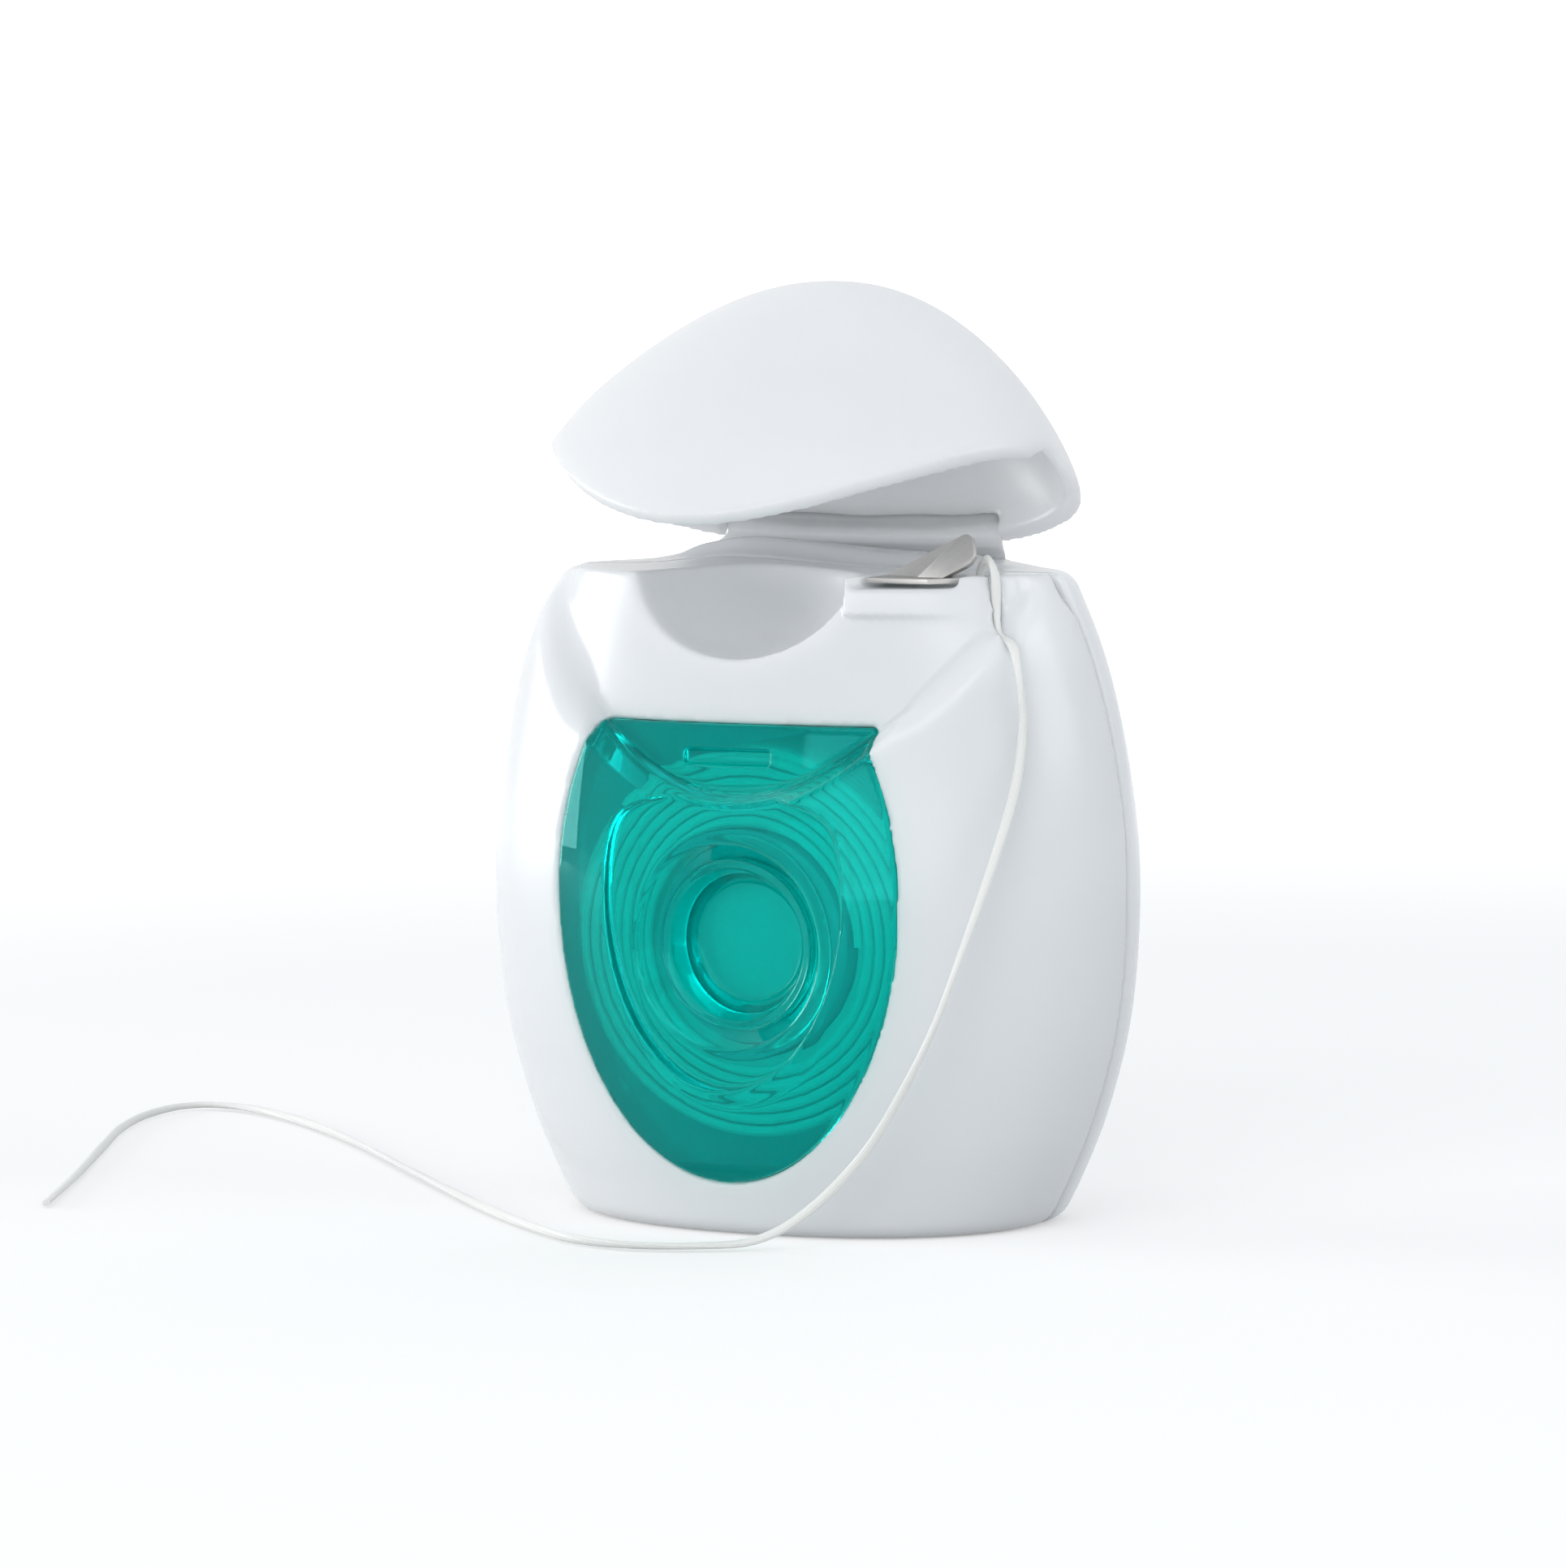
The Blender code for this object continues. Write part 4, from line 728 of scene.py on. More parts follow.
def build_window_insert():
    """Clear insert with the front's bulge, its dish, hub well and latch slot."""
    insert = prism("window_form", window_outline(0.0), AHEAD_Y, WINDOW_BACK_Y, "Y")
    overlap(insert, housing_form("window_outer"))
    cut_facet(insert, "window_facet")
    join(insert, window_flange())
    dish = prism("dish", dish_outline(0.0), AHEAD_Y, DISH_FLOOR_Y, "Y")
    flare = (FUNNEL_RADIUS - WELL_MOUTH_RADIUS) / FUNNEL_DEPTH * WALL
    funnel = cone_y("funnel", DISH_FLOOR_Y - WALL, DISH_FLOOR_Y + FUNNEL_DEPTH, FUNNEL_RADIUS + flare,
                    WELL_MOUTH_RADIUS)
    well = cone_y("well", DISH_FLOOR_Y + FUNNEL_DEPTH - BAND_OVERLAP, DISH_FLOOR_Y + WELL_DEPTH,
                  WELL_MOUTH_RADIUS - BAND_OVERLAP, WELL_FLOOR_RADIUS)
    slot_floor = front_y(0.0, SLOT_Z, FACET_SIDE_RECESS, FACET_RECESS) + SLOT_DEPTH
    slot = block("latch_slot", (SLOT_X - SLOT_WIDTH / 2, -FRONT_BULGE, SLOT_Z - SLOT_HEIGHT / 2),
                 (SLOT_X + SLOT_WIDTH / 2, slot_floor, SLOT_Z + SLOT_HEIGHT / 2))
    return cut(insert, window_cavity(), dish, funnel, well, slot)


def lid_ring(z, inset, steps):
    """Ring of the closed lid: flush with the housing below the deck, a dome above it."""
    half_width, front, rear = housing_size(min(z, BODY_HEIGHT))
    flare = min(max((z - LID_FLARE_START_Z) / (BODY_HEIGHT - LID_FLARE_START_Z), 0.0), 1.0)
    climb = max(z - BODY_HEIGHT, 0.0) / (LID_RISE - inset)
    across = sqrt(max(1 - climb ** CROWN_WIDTH_POWER, 0.0))
    along = sqrt(max(1 - climb ** CROWN_DEPTH_POWER, 0.0))
    sizes = ((half_width + LID_FLARE * flare) * across, (front + LID_FRONT_SWELL * flare) * along,
             rear * along)
    return plan_ring(*(max(size - inset, inset / 2) for size in sizes), z, steps,
                     -CROWN_FORWARD * climb ** CROWN_FORWARD_POWER)


def lid_form(name, inset, steps):
    """Closed form of the lid, drawn in by an inset."""
    low = LEDGE_LOW_Z - OVERRUN / 2
    below = [low + (BODY_HEIGHT - low) * step / CORE_RINGS for step in range(CORE_RINGS + 1)]
    top = LID_RISE - inset
    rises = [sin(pi / 2 * step / CROWN_RINGS) for step in range(1, CROWN_RINGS)]
    above = [BODY_HEIGHT + top * rise for rise in rises + [CROWN_TOP_SHARE]]
    return loft(name, [lid_ring(z, inset, steps) for z in below + above])


def build_lid():
    """Domed lid with its front tongue and latch bump, turned open about the hinge."""
    lid = lid_form("lid_form", 0.0, PLAN_STEPS)
    cut(lid, lid_form("lid_hollow", LID_WALL, CORE_STEPS))
    span = BODY_WIDTH / 2
    seam_rim = BODY_HEIGHT + RIM_GAP
    below = [(x, min(z, seam_rim)) for x, z in ledge_line(TONGUE_GAP)] + [(span, 0.0), (-span, 0.0)]
    cut(lid, prism("below_tongue", below, AHEAD_Y, FACET_BACK_Y + WALL, "Y"))
    far = HINGE_Y + OVERRUN
    near = FACET_BACK_Y - TONGUE_GAP
    rear_outline = [(near, 0.0), (far, 0.0), (far, REAR_RIM_Z), (REAR_RIM_START_Y, REAR_RIM_Z),
                    (0.0, seam_rim), (near, seam_rim)]
    cut(lid, prism("below_rear_rim", rear_outline, -span - OVERRUN, span + OVERRUN, "X"))
    cut(lid, block("hinge_notch", (-NOTCH_HALF_WIDTH, HINGE_Y - OVERRUN, BODY_HEIGHT - OVERRUN),
                   (NOTCH_HALF_WIDTH, far, NOTCH_Z)))
    tongue = front_y(0.0, SLOT_Z, FACET_SIDE_RECESS, FACET_RECESS) - FACET_RECESS
    inner, half = tongue + LID_WALL + LATCH_REACH + FIT_GAP, LATCH_WIDTH / 2
    join(lid, block("latch_bump", (SLOT_X - half, tongue + LID_WALL / 2, SLOT_Z - LATCH_HEIGHT / 2),
                    (SLOT_X + half, inner, SLOT_Z + LATCH_HEIGHT / 2)))
    solid = evaluated_copy(lid, "lid_solid")
    solid.data.transform(open_turn(1.0))
    return solid


def hinge_web():
    """Living hinge: a sheet along the back from the deck to the lid, thinnest at the axis."""
    rings = []
    side, _, rear = housing_size(BODY_HEIGHT)
    for front, back, z, half_width, part in WEB_SECTIONS:
        ring = []
        for step in range(WEB_SIDES):
            angle = 2 * pi * step / WEB_SIDES
            across, along = cos(angle), sin(angle)
            x = half_width * bent(across, 1 / 6)
            y = (front + back) / 2 + (back - front) / 2 * bent(along, 1 / 2)
            y -= rear * (1 - (1 - (abs(x) / side) ** REAR_POWER) ** (1 / REAR_POWER))
            ring.append(open_turn(part) @ Vector((x, HINGE_Y + y, HINGE_Z + z)))
        rings.append(ring)
    return loft("web_form", rings)


def smooth_route(route, steps):
    """Points along a smooth curve through a route's points, and its length."""
    places = [Vector(place) for place in route]
    points = []
    for index in range(len(places) - 1):
        before, start = places[max(index - 1, 0)], places[index]
        end, after = places[index + 1], places[min(index + 2, len(places) - 1)]
        for step in range(steps):
            t = step / steps
            points.append(0.5 * (2 * start + (end - before) * t
                                 + (2 * before - 5 * start + 4 * end - after) * t * t
                                 + (3 * start - before - 3 * end + after) * t ** 3))
    points.append(places[-1])
    return points, sum((second - first).length for first, second in zip(points, points[1:]))


def places_of(mesh):
    """Vertex places of a mesh as rows."""
    places = np.empty(len(mesh.vertices) * 3)
    mesh.vertices.foreach_get("co", places)
    return places.reshape(-1, 3)


def soften_zone(mesh, weights, rounds):
    """Smooth a mesh where the weights are, more where they are higher."""
    obj = add_object("zone", mesh)
    group = obj.vertex_groups.new(name="zone")
    levels = np.round(np.clip(weights, 0, 1) * ZONE_LEVELS).astype(int)
    for level in range(1, ZONE_LEVELS + 1):
        group.add(np.flatnonzero(levels == level).tolist(), level / ZONE_LEVELS, "REPLACE")
    return evaluated_mesh(modify(obj, "SMOOTH", factor=0.5, iterations=rounds, vertex_group="zone"))


def bell(distance, reach):
    """Weight that falls off from 1 with distance."""
    return np.exp(-(distance / reach) ** 2)


def ease(value, low, high):
    """Smooth step from 0 at low to 1 at high."""
    t = np.clip((value - low) / (high - low), 0, 1)
    return t * t * (3 - 2 * t)


def ledge_weights(places):
    """Zone of the slanted band, wide at the left and narrow at the right."""
    x, y, z = places.T
    slope = LEDGE_RISE * LEDGE_POWER * (abs(x) / LEDGE_HALF_WIDTH) ** (LEDGE_POWER - 1) / LEDGE_HALF_WIDTH
    away = (z - ledge_z(x) + BAND_ZONE_DROP) / np.sqrt(1 + slope ** 2)
    return (bell(away, np.where(x < 0, BAND_ZONE_LEFT, BAND_ZONE_RIGHT)) * ease(-y, *BAND_FADE_Y)
            * ease(abs(x), *BAND_FADE_X))


def scoop_weights(places):
    """Zone of the scoop's rim, which fades out at the left and at the rear."""
    x, y, z = places.T
    reach = np.sqrt(((x - SCOOP_X) / SCOOP_HALF_WIDTH) ** 2 + ((y - SCOOP_Y) / SCOOP_HALF_DEPTH) ** 2
                    + ((z - BODY_HEIGHT - SCOOP_RISE) / SCOOP_HALF_HEIGHT) ** 2)
    return bell((reach - 1) * SCOOP_HALF_WIDTH, SCOOP_ZONE) * ease(SCOOP_X - x, *SCOOP_FADE_X)


def pad_weights(places):
    """Zone of the cutter pad's lower edge, which fades into the facet."""
    x, y, z = places.T
    return (bell(z - BODY_HEIGHT + PAD_DEPTH, PAD_ZONE)
            * ease(x, PAD_LEFT_X - PAD_FADE_LEFT[0], PAD_LEFT_X + PAD_FADE_LEFT[1])
            * ease(PAD_RIGHT_X + PAD_FADE_RIGHT - x, 0.0, PAD_FADE_RIGHT) * ease(-y, *PAD_FADE_Y))


def lid_corner_weights(places):
    """Zone of the lid's two corners, where the tongue's edge meets the rear rim."""
    x, y, z, _ = (np.c_[places, np.ones(len(places))] @ np.array(open_turn(1.0).inverted()).T).T
    away = np.sqrt((np.abs(x) - LID_CORNER[0]) ** 2 + (y - LID_CORNER[1]) ** 2 + (z - LID_CORNER[2]) ** 2)
    return bell(away, CORNER_ZONE)


def deck_weights(places):
    """Zone of the rear deck's steps in front of the hinge."""
    x, y, z = places.T
    return (ease(z, BODY_HEIGHT - DECK_FADE_Z[0], BODY_HEIGHT - DECK_FADE_Z[1]) * ease(y, *DECK_FADE_FRONT)
            * ease(-y, *DECK_FADE_REAR))


def raise_deck(places):
    """Low dome of the deck behind the scoop."""
    x, y, z = places.T
    dome = bell(x - DOME_X, np.where(x < DOME_X, DOME_LEFT, DOME_RIGHT)) * bell(y - DOME_Y, DOME_DEPTH)
    places[:, 2] += DOME_RISE * dome * ease(z, BODY_HEIGHT - DOME_FADE, BODY_HEIGHT)


def finish_piece(obj, name, material, body, node, softening=None, zones=(), shape=None):
    """Even out and soften a solid, move it to its place and hand it to its body."""
    if softening:
        modify(obj, "REMESH", mode="VOXEL", voxel_size=softening[0])
        modify(obj, "SMOOTH", factor=0.5, iterations=softening[1])
    mesh = evaluated_mesh(obj)
    for weights_of, rounds in zones:
        mesh = soften_zone(mesh, weights_of(places_of(mesh)), rounds)
    if shape:
        places = places_of(mesh)
        shape(places)
        mesh.vertices.foreach_set("co", places.ravel())
    mesh.transform(Matrix.Translation((0, SEAM_Y, 0)))
    mesh.name = name
    mesh.materials.clear()
    mesh.materials.append(material)
    mesh.shade_smooth()
    if not softening:
        mesh.set_sharp_from_angle(angle=radians(SHARP_ANGLE_DEG))
    piece = link_object(name, mesh)
    for scratch in SCRATCH:
        bpy.data.objects.remove(scratch)
    SCRATCH.clear()
    if body:
        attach(piece, body)
    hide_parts(node)
    return piece


class Nodes:
    """Small helper that adds and links the nodes of one material."""

    def __init__(self, name):
        self.material = bpy.data.materials.new(name)
        self.material.use_nodes = True
        self.tree = self.material.node_tree
        self.shader = self.tree.nodes["Principled BSDF"]

    def add(self, kind, **values):
        return add_node(self.tree, kind, **values)

    def link(self, source, target):
        self.tree.links.new(source, target)

    def set(self, **values):
        for key, value in values.items():
            self.shader.inputs[key.replace("_", " ")].default_value = value

    def noise(self, scale, detail, roughness, stretch=None):
        """Noise over the object, drawn out where a stretch is given."""
        place = self.add("TexCoord").outputs["Object"]
        if stretch:
            along = self.add("Mapping", Scale=stretch)
            self.link(place, along.inputs["Vector"])
            place = along.outputs["Vector"]
        noise = self.add("TexNoise", Scale=scale, Detail=detail, Roughness=roughness)
        self.link(place, noise.inputs["Vector"])
        return noise.outputs["Fac"]

    def tint(self, noise, color, shade):
        """Base colour that wavers between two tones."""
        mix = self.add("Mix", data_type="RGBA")
        mix.inputs["A"].default_value = (*color, 1)
        mix.inputs["B"].default_value = (*shade, 1)
        self.link(noise, mix.inputs["Factor"])
        self.link(mix.outputs["Result"], self.shader.inputs["Base Color"])

    def gloss(self, noise, low, high):
        """Roughness that wavers between two values."""
        span = self.add("MapRange", From_Min=0.3, From_Max=0.7, To_Min=low, To_Max=high)
        self.link(noise, span.inputs["Value"])
        self.link(span.outputs["Result"], self.shader.inputs["Roughness"])

    def bump(self, noise, strength, distance):
        """Fine relief of the surface."""
        bump = self.add("Bump", Strength=strength, Distance=distance)
        self.link(noise, bump.inputs["Height"])
        self.link(bump.outputs["Normal"], self.shader.inputs["Normal"])


def add_node(tree, kind, **values):
    """Node with its settings, or the values of its inputs."""
    node = tree.nodes.new("ShaderNode" + kind)
    for key, value in values.items():
        if hasattr(node, key):
            setattr(node, key, value)
        else:
            node.inputs[key.replace("_", " ")].default_value = value
    return node


def plastic(name, color, shade, roughness, glow, depth):
    """Moulded plastic: faint cloudiness, an uneven gloss and a fine skin."""
    n = Nodes(name)
    n.tint(n.noise(90.0, 3.0, 0.5), color, shade)
    n.gloss(n.noise(900.0, 4.0, 0.6), roughness * 0.92, roughness * 1.08)
    n.bump(n.noise(420.0, 2.0, 0.5), 0.015, 0.0001)
    n.set(IOR=1.49, Subsurface_Weight=glow, Subsurface_Radius=(1.0, 0.97, 0.95), Subsurface_Scale=depth,
          Specular_IOR_Level=0.5)
    return n.material


def grained(name, color, shade, noise, relief, gloss=None, **values):
    """Surface whose tone, fine relief and gloss follow one noise over the object."""
    n = Nodes(name)
    grain = n.noise(*noise)
    n.tint(grain, color, shade)
    n.bump(grain, *relief)
    if gloss:
        n.gloss(grain, *gloss)
    n.set(**values)
    return n.material


WHITE_SHELL = plastic("white_shell", (0.85, 0.865, 0.88), (0.83, 0.845, 0.86), 0.22, 0.7, 0.0026)
WHITE_LID = plastic("white_lid", (0.86, 0.86, 0.87), (0.84, 0.84, 0.85), 0.32, 1.0, 0.0050)
# Bobbin plastic in a dark grey-blue. The darkness is painted shade for the dark ring that shows through the
# window.
BOBBIN_PLASTIC_PAINTED_SHADE = plastic("bobbin_plastic", (0.40, 0.44, 0.48), (0.37, 0.41, 0.45), 0.4, 0.1, 0.0015)

# Clear teal moulding with a faint flow pattern
TEAL = grained("teal_window", (0.0, 0.85, 0.78), (0.0, 0.80, 0.73), (120.0, 2.0, 0.5), (0.03, 0.0001),
               IOR=1.49, Transmission_Weight=0.87, Roughness=0.02, Specular_Tint=(0.12, 0.95, 0.92, 1))

# Thin rolled steel with grain along the plate
STEEL = grained("steel", (0.60, 0.59, 0.57), (0.46, 0.45, 0.44), (1.0, 5.0, 0.65, (300.0, 9000.0, 9000.0)),
                (0.15, 0.00002), (0.28, 0.45), Metallic=1.0)

# Waxed multi-filament floss with a soft sheen
FLOSS = grained("floss", (0.86, 0.86, 0.83), (0.80, 0.80, 0.77), (2500.0, 4.0, 0.7), (0.25, 0.00005),
                Roughness=0.5, Sheen_Weight=0.25, Subsurface_Weight=0.3, Subsurface_Radius=(1.0, 1.0, 1.0),
                Subsurface_Scale=0.0005)


def winding_points():
    """One strand: a flat spiral on the pack's front face, then turns along the drum."""
    radius = FLOSS_DIAMETER / 2
    outer = PACK_RADIUS + FIT_GAP + radius
    inner = BORE_RADIUS + CORE_WALL + FLOSS_DIAMETER
    front = BOBBIN_FRONT_Y + PACK_STEP - FIT_GAP - radius
    back = BOBBIN_BACK_Y - PACK_STEP / 2 - radius
    pitch = (back - front) / DRUM_LOOPS
    places = []
    for step in range((FACE_LOOPS + DRUM_LOOPS) * LOOP_POINTS + 1):
        turns = step / LOOP_POINTS
        reach = inner + (outer - inner) * min(turns, FACE_LOOPS) / FACE_LOOPS
        y = front + pitch * max(turns - FACE_LOOPS, 0.0)
        angle = 2 * pi * turns
        places.append(Vector((reach * cos(angle), y, HUB_Z + reach * sin(angle))))
    return places


def ridged(start, end, turns):
    """Points from start to end in radius and Y, with a low ridge for each turn."""
    (first_radius, first_y), (last_radius, last_y) = start, end
    length = hypot(last_radius - first_radius, last_y - first_y)
    over = ((last_y - first_y) / length, (first_radius - last_radius) / length)
    points = []
    for step in range(turns * RIDGE_STEPS + 1):
        t = step / (turns * RIDGE_STEPS)
        dip = RIDGE_DEPTH * (cos(2 * pi * t * turns) - 1) / 2
        points.append((first_radius + (last_radius - first_radius) * t - over[0] * dip,
                       first_y + (last_y - first_y) * t - over[1] * dip))
    return points


def build_pack():
    """Wound body under the outer turns, ridged turn by turn."""
    front, back = BOBBIN_FRONT_Y + PACK_STEP, BOBBIN_BACK_Y - PACK_STEP / 2
    inner = BORE_RADIUS + CORE_WALL + FIT_GAP
    outline = ridged((PACK_RADIUS, back), (PACK_RADIUS, front), DRUM_LOOPS)
    outline += ridged((PACK_RADIUS, front), (inner, front), FACE_LOOPS)[1:]
    outline += ridged((inner, back), (PACK_RADIUS, back), FACE_LOOPS)[:-1]
    return turned_y("pack_ring", outline)


def build_core():
    """Core tube of the bobbin, with rounded rims."""
    front, back, soft = BOBBIN_FRONT_Y, BOBBIN_BACK_Y, CORE_WALL / 4
    inner, outer = BORE_RADIUS, BORE_RADIUS + CORE_WALL
    return turned_y("core_tube", [
        (outer, back - soft), (outer, front + soft), (outer - soft / 3, front + soft / 3),
        (outer - soft, front), (inner + soft, front), (inner + soft / 3, front + soft / 3),
        (inner, front + soft), (inner, back - soft), (inner + soft, back), (outer - soft, back)])


def build_cutter():
    """Steel plate with the tab bent up and the hole that it left."""
    low_z = BODY_HEIGHT - PLATE_SINK + FIT_GAP
    high_z = low_z + PLATE_THICKNESS
    nose = (PLATE_RIGHT_X - PLATE_LEFT_X) / 4
    outline = [(PLATE_LEFT_X, PLATE_FRONT_Y), (PLATE_RIGHT_X - nose, PLATE_FRONT_Y),
               (PLATE_RIGHT_X, PLATE_FRONT_Y + nose), (PLATE_RIGHT_X, PLATE_BACK_Y),
               (PLATE_LEFT_X, PLATE_BACK_Y)]
    plate = prism("cutter_sheet", outline, low_z, high_z, "Z")
    half = TAB_WIDTH / 2
    tab_outline = [(-TAB_ROOT, half), (-TAB_ROOT, -half)]
    for step in range(TAB_STEPS + 1):
        angle = -pi / 2 + pi * step / TAB_STEPS
        side = copysign(half - TAB_ROUND, step - TAB_STEPS / 2)
        tab_outline.append((TAB_LENGTH - TAB_ROUND * (1 - cos(angle)), side + TAB_ROUND * sin(angle)))
    root = Vector((PLATE_LEFT_X + TAB_ROOT, (PLATE_FRONT_Y + PLATE_BACK_Y) / 2 + TAB_BACK, high_z))
    tab = prism("cutter_tab", tab_outline, -PLATE_THICKNESS / 2, PLATE_THICKNESS / 2, "Z")
    tab.data.transform(Matrix.Translation(root) @ Matrix.Rotation(-radians(TAB_RISE_DEG), 4, "Y")
                       @ Matrix.Rotation(radians(TAB_LEAN_DEG), 4, "X"))
    cut(tab, block("below_sheet", (PLATE_LEFT_X, -FRONT_BULGE, 0.0),
                   (PLATE_RIGHT_X, 0.0, low_z + PLATE_THICKNESS / 2)))
    lance = block("lanced_hole", (root.x, root.y - TAB_ROUND, low_z - OVERRUN),
                  (PLATE_RIGHT_X - TAB_ROUND, PLATE_BACK_Y - TAB_ROUND / 2, high_z + OVERRUN))
    join(cut(plate, lance), tab)
    return modify(plate, "BEVEL", width=PLATE_THICKNESS / 6, segments=2, limit_method="ANGLE",
                  angle_limit=radians(SHARP_ANGLE_DEG))


def ribbon(points, width, thickness, turns):
    """Flattened strand along points, slowly twisting, with shallow grooves."""
    rings = []
    side = None
    for index, point in enumerate(points):
        ahead = (points[min(index + 1, len(points) - 1)] - points[max(index - 1, 0)]).normalized()
        if side is None:
            side = ahead.cross(Vector((0, 1, 0))).normalized()
        side = (side - ahead * side.dot(ahead)).normalized()
        over = ahead.cross(side)
        twist = 2 * pi * turns * index / len(points)
        ring = []
        for step in range(STRAND_SIDES):
            angle = 2 * pi * step / STRAND_SIDES
            groove = 1 - STRAND_GROOVE * (step % 2)
            a, b = width / 2 * cos(angle) * groove, thickness / 2 * sin(angle) * groove
            a, b = a * cos(twist) - b * sin(twist), a * sin(twist) + b * cos(twist)
            ring.append(point + side * a + over * b)
        rings.append(ring)
    return loft("ribbon", rings, 0.0)


def photo_camera():
    """Camera solved for the photograph, with its focal length and shift in pixels."""
    turn, tip, roll = radians(28.92), radians(5.53), radians(0.79)
    distance, height, focal, frame_width, offset = 0.52277, 0.08145, 9022.8, 1929, 40.90
    data = bpy.data.cameras.new("photo_camera")
    data.sensor_fit = "HORIZONTAL"
    data.sensor_width = 36.0
    data.lens = focal * data.sensor_width / frame_width
    data.shift_x = -offset * cos(roll) / frame_width
    data.shift_y = -offset * sin(roll) / frame_width
    data.clip_start = 0.01
    camera = link_object("photo_camera", data)
    place = Vector((distance * sin(turn), SEAM_Y - distance * cos(turn), height))
    camera.matrix_world = (Matrix.Translation(place) @ Matrix.Rotation(turn, 4, "Z")
                           @ Matrix.Rotation(pi / 2 - tip, 4, "X") @ Matrix.Rotation(-roll, 4, "Z"))
    bpy.context.scene.camera = camera


def shown_rays(tree):
    """1 for the rays that show the white surroundings."""
    path = add_node(tree, "LightPath")
    shown = path.outputs["Is Camera Ray"]
    for kind in ("Is Glossy Ray", "Is Transmission Ray"):
        either = add_node(tree, "Math", operation="MAXIMUM")
        tree.links.new(shown, either.inputs[0])
        tree.links.new(path.outputs[kind], either.inputs[1])
        shown = either.outputs[0]
    return shown


def white_floor():
    """Floor that shows white, and keeps the object's shadow near it."""
    mesh = bpy.data.meshes.new("floor")
    mesh.from_pydata([(-3, -3, 0), (3, -3, 0), (3, 3, 0), (-3, 3, 0)], [], [(0, 1, 2, 3)])
    n = Nodes("floor_white")
    n.set(Base_Color=(0.62, 0.62, 0.62, 1), Roughness=0.9, Specular_IOR_Level=0.0,
          Emission_Color=(1, 1, 1, 1))
    away = n.add("VectorMath", operation="LENGTH")
    n.link(n.add("TexCoord").outputs["Object"], away.inputs[0])
    near = n.add("MapRange", interpolation_type="SMOOTHSTEP", From_Min=0.14, From_Max=0.50,
                 To_Min=FLOOR_GLOW, To_Max=1.0)
    n.link(away.outputs["Value"], near.inputs["Value"])
    glow = n.add("Math", operation="MULTIPLY")
    n.link(shown_rays(n.tree), glow.inputs[0])
    n.link(near.outputs["Result"], glow.inputs[1])
    n.link(glow.outputs[0], n.shader.inputs["Emission Strength"])
    mesh.materials.append(n.material)
    link_object("floor", mesh)


def studio():
    """White floor and surroundings, softboxes and a pale sky."""
    white_floor()
    world = bpy.data.worlds.new("studio")
    bpy.context.scene.world = world
    world.use_nodes = True
    tree = world.node_tree
    sky = tree.nodes["Background"]
    sky.inputs["Color"].default_value = (0.90, 0.95, 1.0, 1)
    sky.inputs["Strength"].default_value = 0.60
    white = add_node(tree, "Background", Color=(1, 1, 1, 1), Strength=1.0)
    mix = add_node(tree, "MixShader")
    for source, socket in ((shown_rays(tree), "Fac"), (sky.outputs[0], 1), (white.outputs[0], 2)):
        tree.links.new(source, mix.inputs[socket])
    tree.links.new(mix.outputs[0], tree.nodes["World Output"].inputs["Surface"])
    for name, (place, target, size, power, color) in LAMPS.items():
        data = bpy.data.lights.new(name, "AREA")
        data.shape = "RECTANGLE"
        data.size, data.size_y = size
        data.energy = power
        data.color = color
        lamp = link_object(name, data)
        lamp.location = place
        lamp.rotation_euler = (Vector((0, 0, target)) - Vector(place)).to_track_quat("-Z", "Y").to_euler()
    bpy.context.scene.view_settings.view_transform = "Standard"


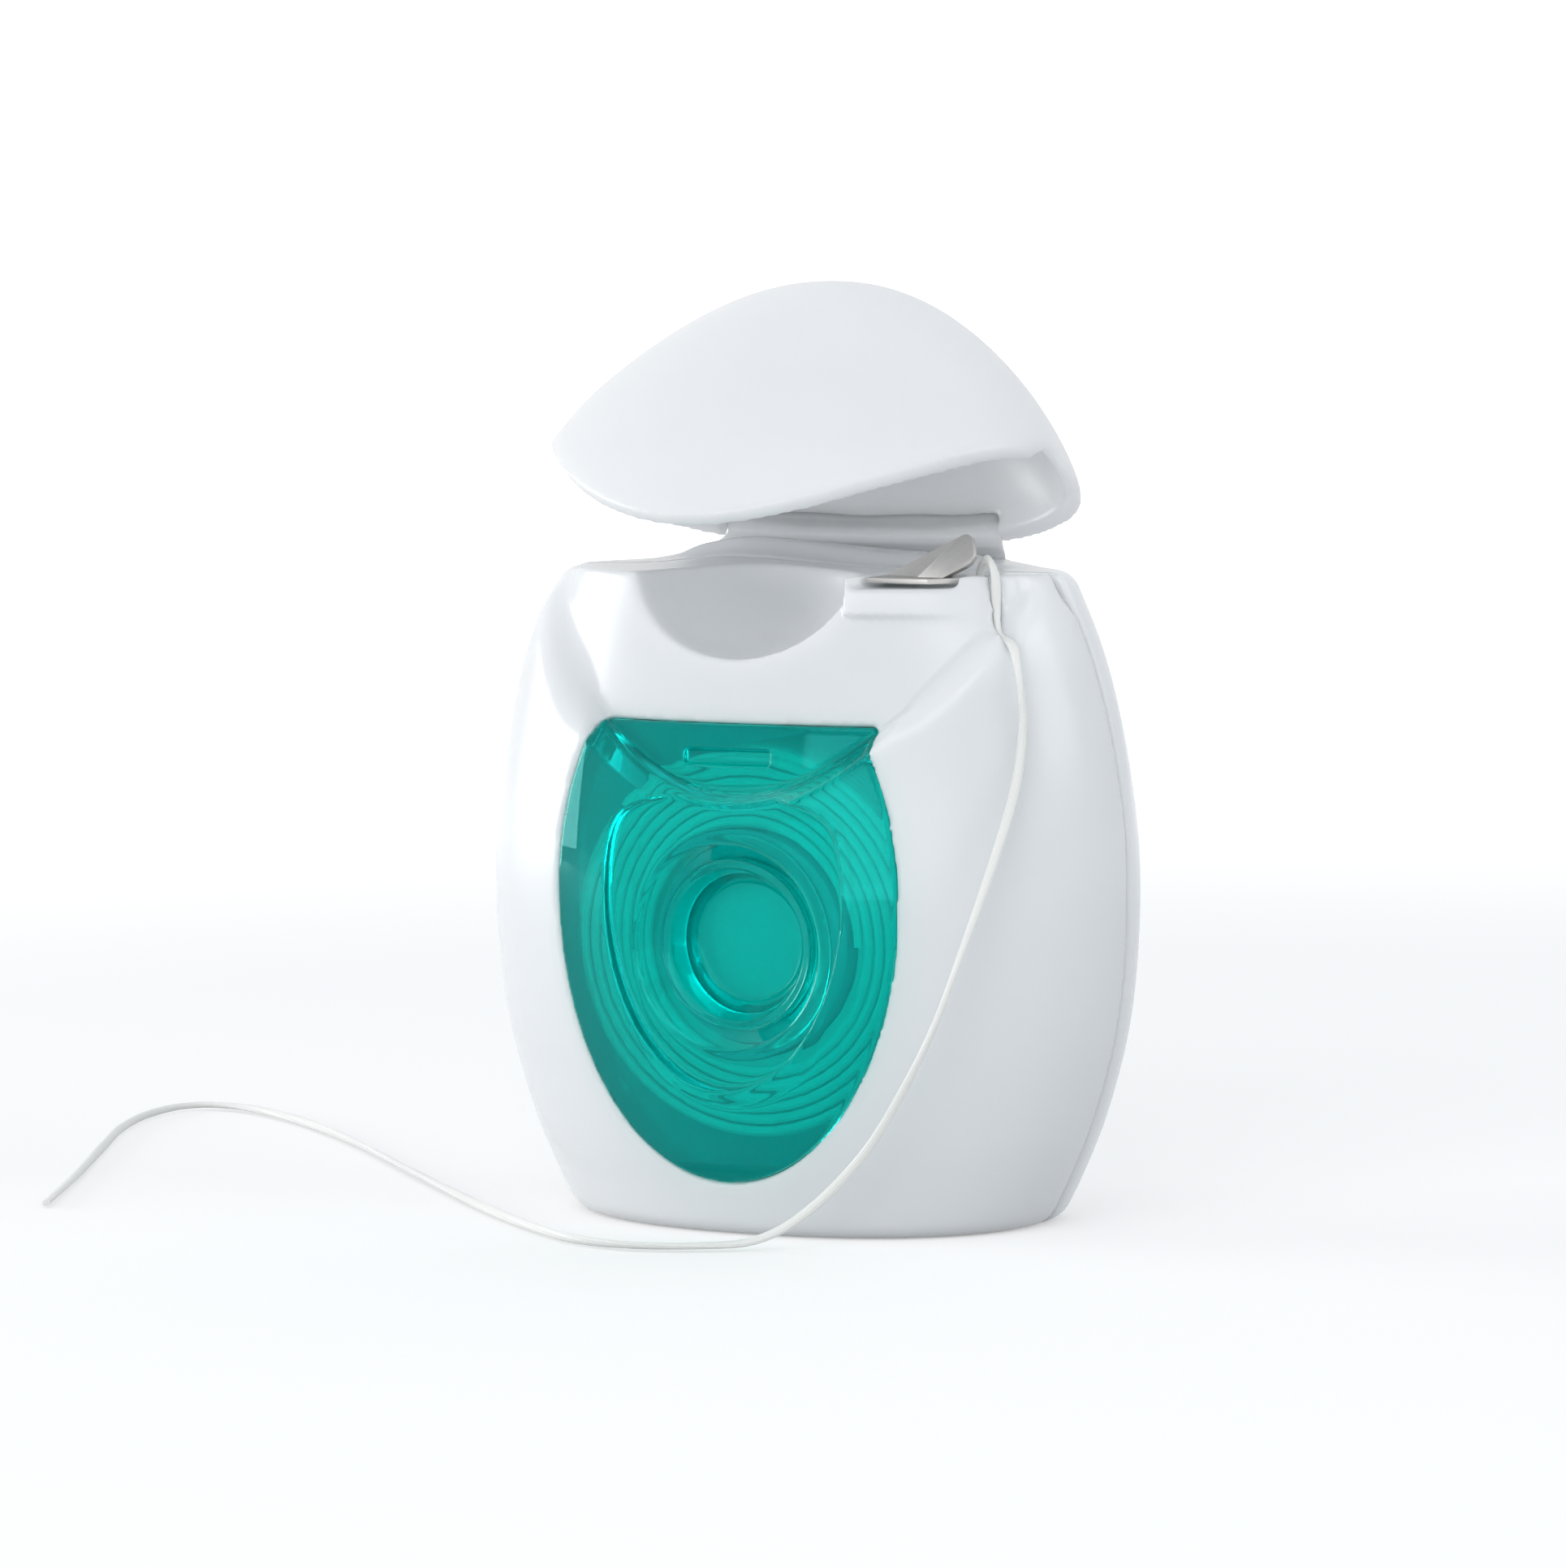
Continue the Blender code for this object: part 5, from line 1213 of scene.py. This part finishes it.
def build_pieces():
    """Every piece of the dispenser."""
    finish_piece(build_front_shell(), "front_housing", WHITE_SHELL, "housing", "front_shell",
                 SHELL_SOFTENING, ((ledge_weights, 60), (scoop_weights, 160), (pad_weights, 160)),
                 raise_deck)
    finish_piece(build_rear_shell(), "rear_housing", WHITE_SHELL, "housing", "rear_shell",
                 SHELL_SOFTENING, ((deck_weights, 90),), raise_deck)
    finish_piece(build_window_insert(), "window", TEAL, "housing", "window_insert",
                 WINDOW_SOFTENING)
    finish_piece(build_lid(), "flip_lid", WHITE_LID, "lid_body", "lid", LID_SOFTENING,
                 ((lid_corner_weights, 260),))
    web = finish_piece(hinge_web(), "hinge_web", WHITE_LID, None, "living_hinge",
                       WEB_SOFTENING)
    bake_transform(web)
    finish_piece(build_cutter(), "floss_cutter", STEEL, "housing", "cutter_plate")
    finish_piece(build_core(), "bobbin_tube", BOBBIN_PLASTIC_PAINTED_SHADE, "bobbin", "bobbin_core")
    finish_piece(build_pack(), "wound_floss", FLOSS, "bobbin", "floss_pack")
    turns = ribbon(winding_points(), FLOSS_DIAMETER, FLOSS_DIAMETER * WINDING_FLATNESS, 0.0)
    finish_piece(turns, "outer_turns", FLOSS, "bobbin", "floss_winding")
    gap = FIT_GAP + FLOSS_DIAMETER / 2
    leave = Vector((PACK_RADIUS + FIT_GAP + FLOSS_DIAMETER + gap, EXIT_Y, HUB_Z + PACK_RADIUS / 2))
    top = Vector((EXIT_X, EXIT_Y, TAIL_ROUTE[0][2] - FIT_GAP))
    bend = Vector((EXIT_X, EXIT_Y, BODY_HEIGHT - TOWER_DEPTH))
    lead, _ = smooth_route([leave, bend, (bend + top) / 2, top], LEAD_STEPS)
    run = ribbon(lead, FLOSS_DIAMETER, FLOSS_DIAMETER * STRAND_FLATNESS, LEAD_TWISTS)
    finish_piece(run, "inner_run", FLOSS, "housing", "floss_lead")
    tail, length = smooth_route(TAIL_ROUTE, TAIL_STEPS)
    strand = ribbon(tail, FLOSS_DIAMETER, FLOSS_DIAMETER * STRAND_FLATNESS, TAIL_TWISTS)
    strand = finish_piece(strand, "floss_strand", FLOSS, "housing", "floss_tail")


photo_camera()
studio()
build_pieces()
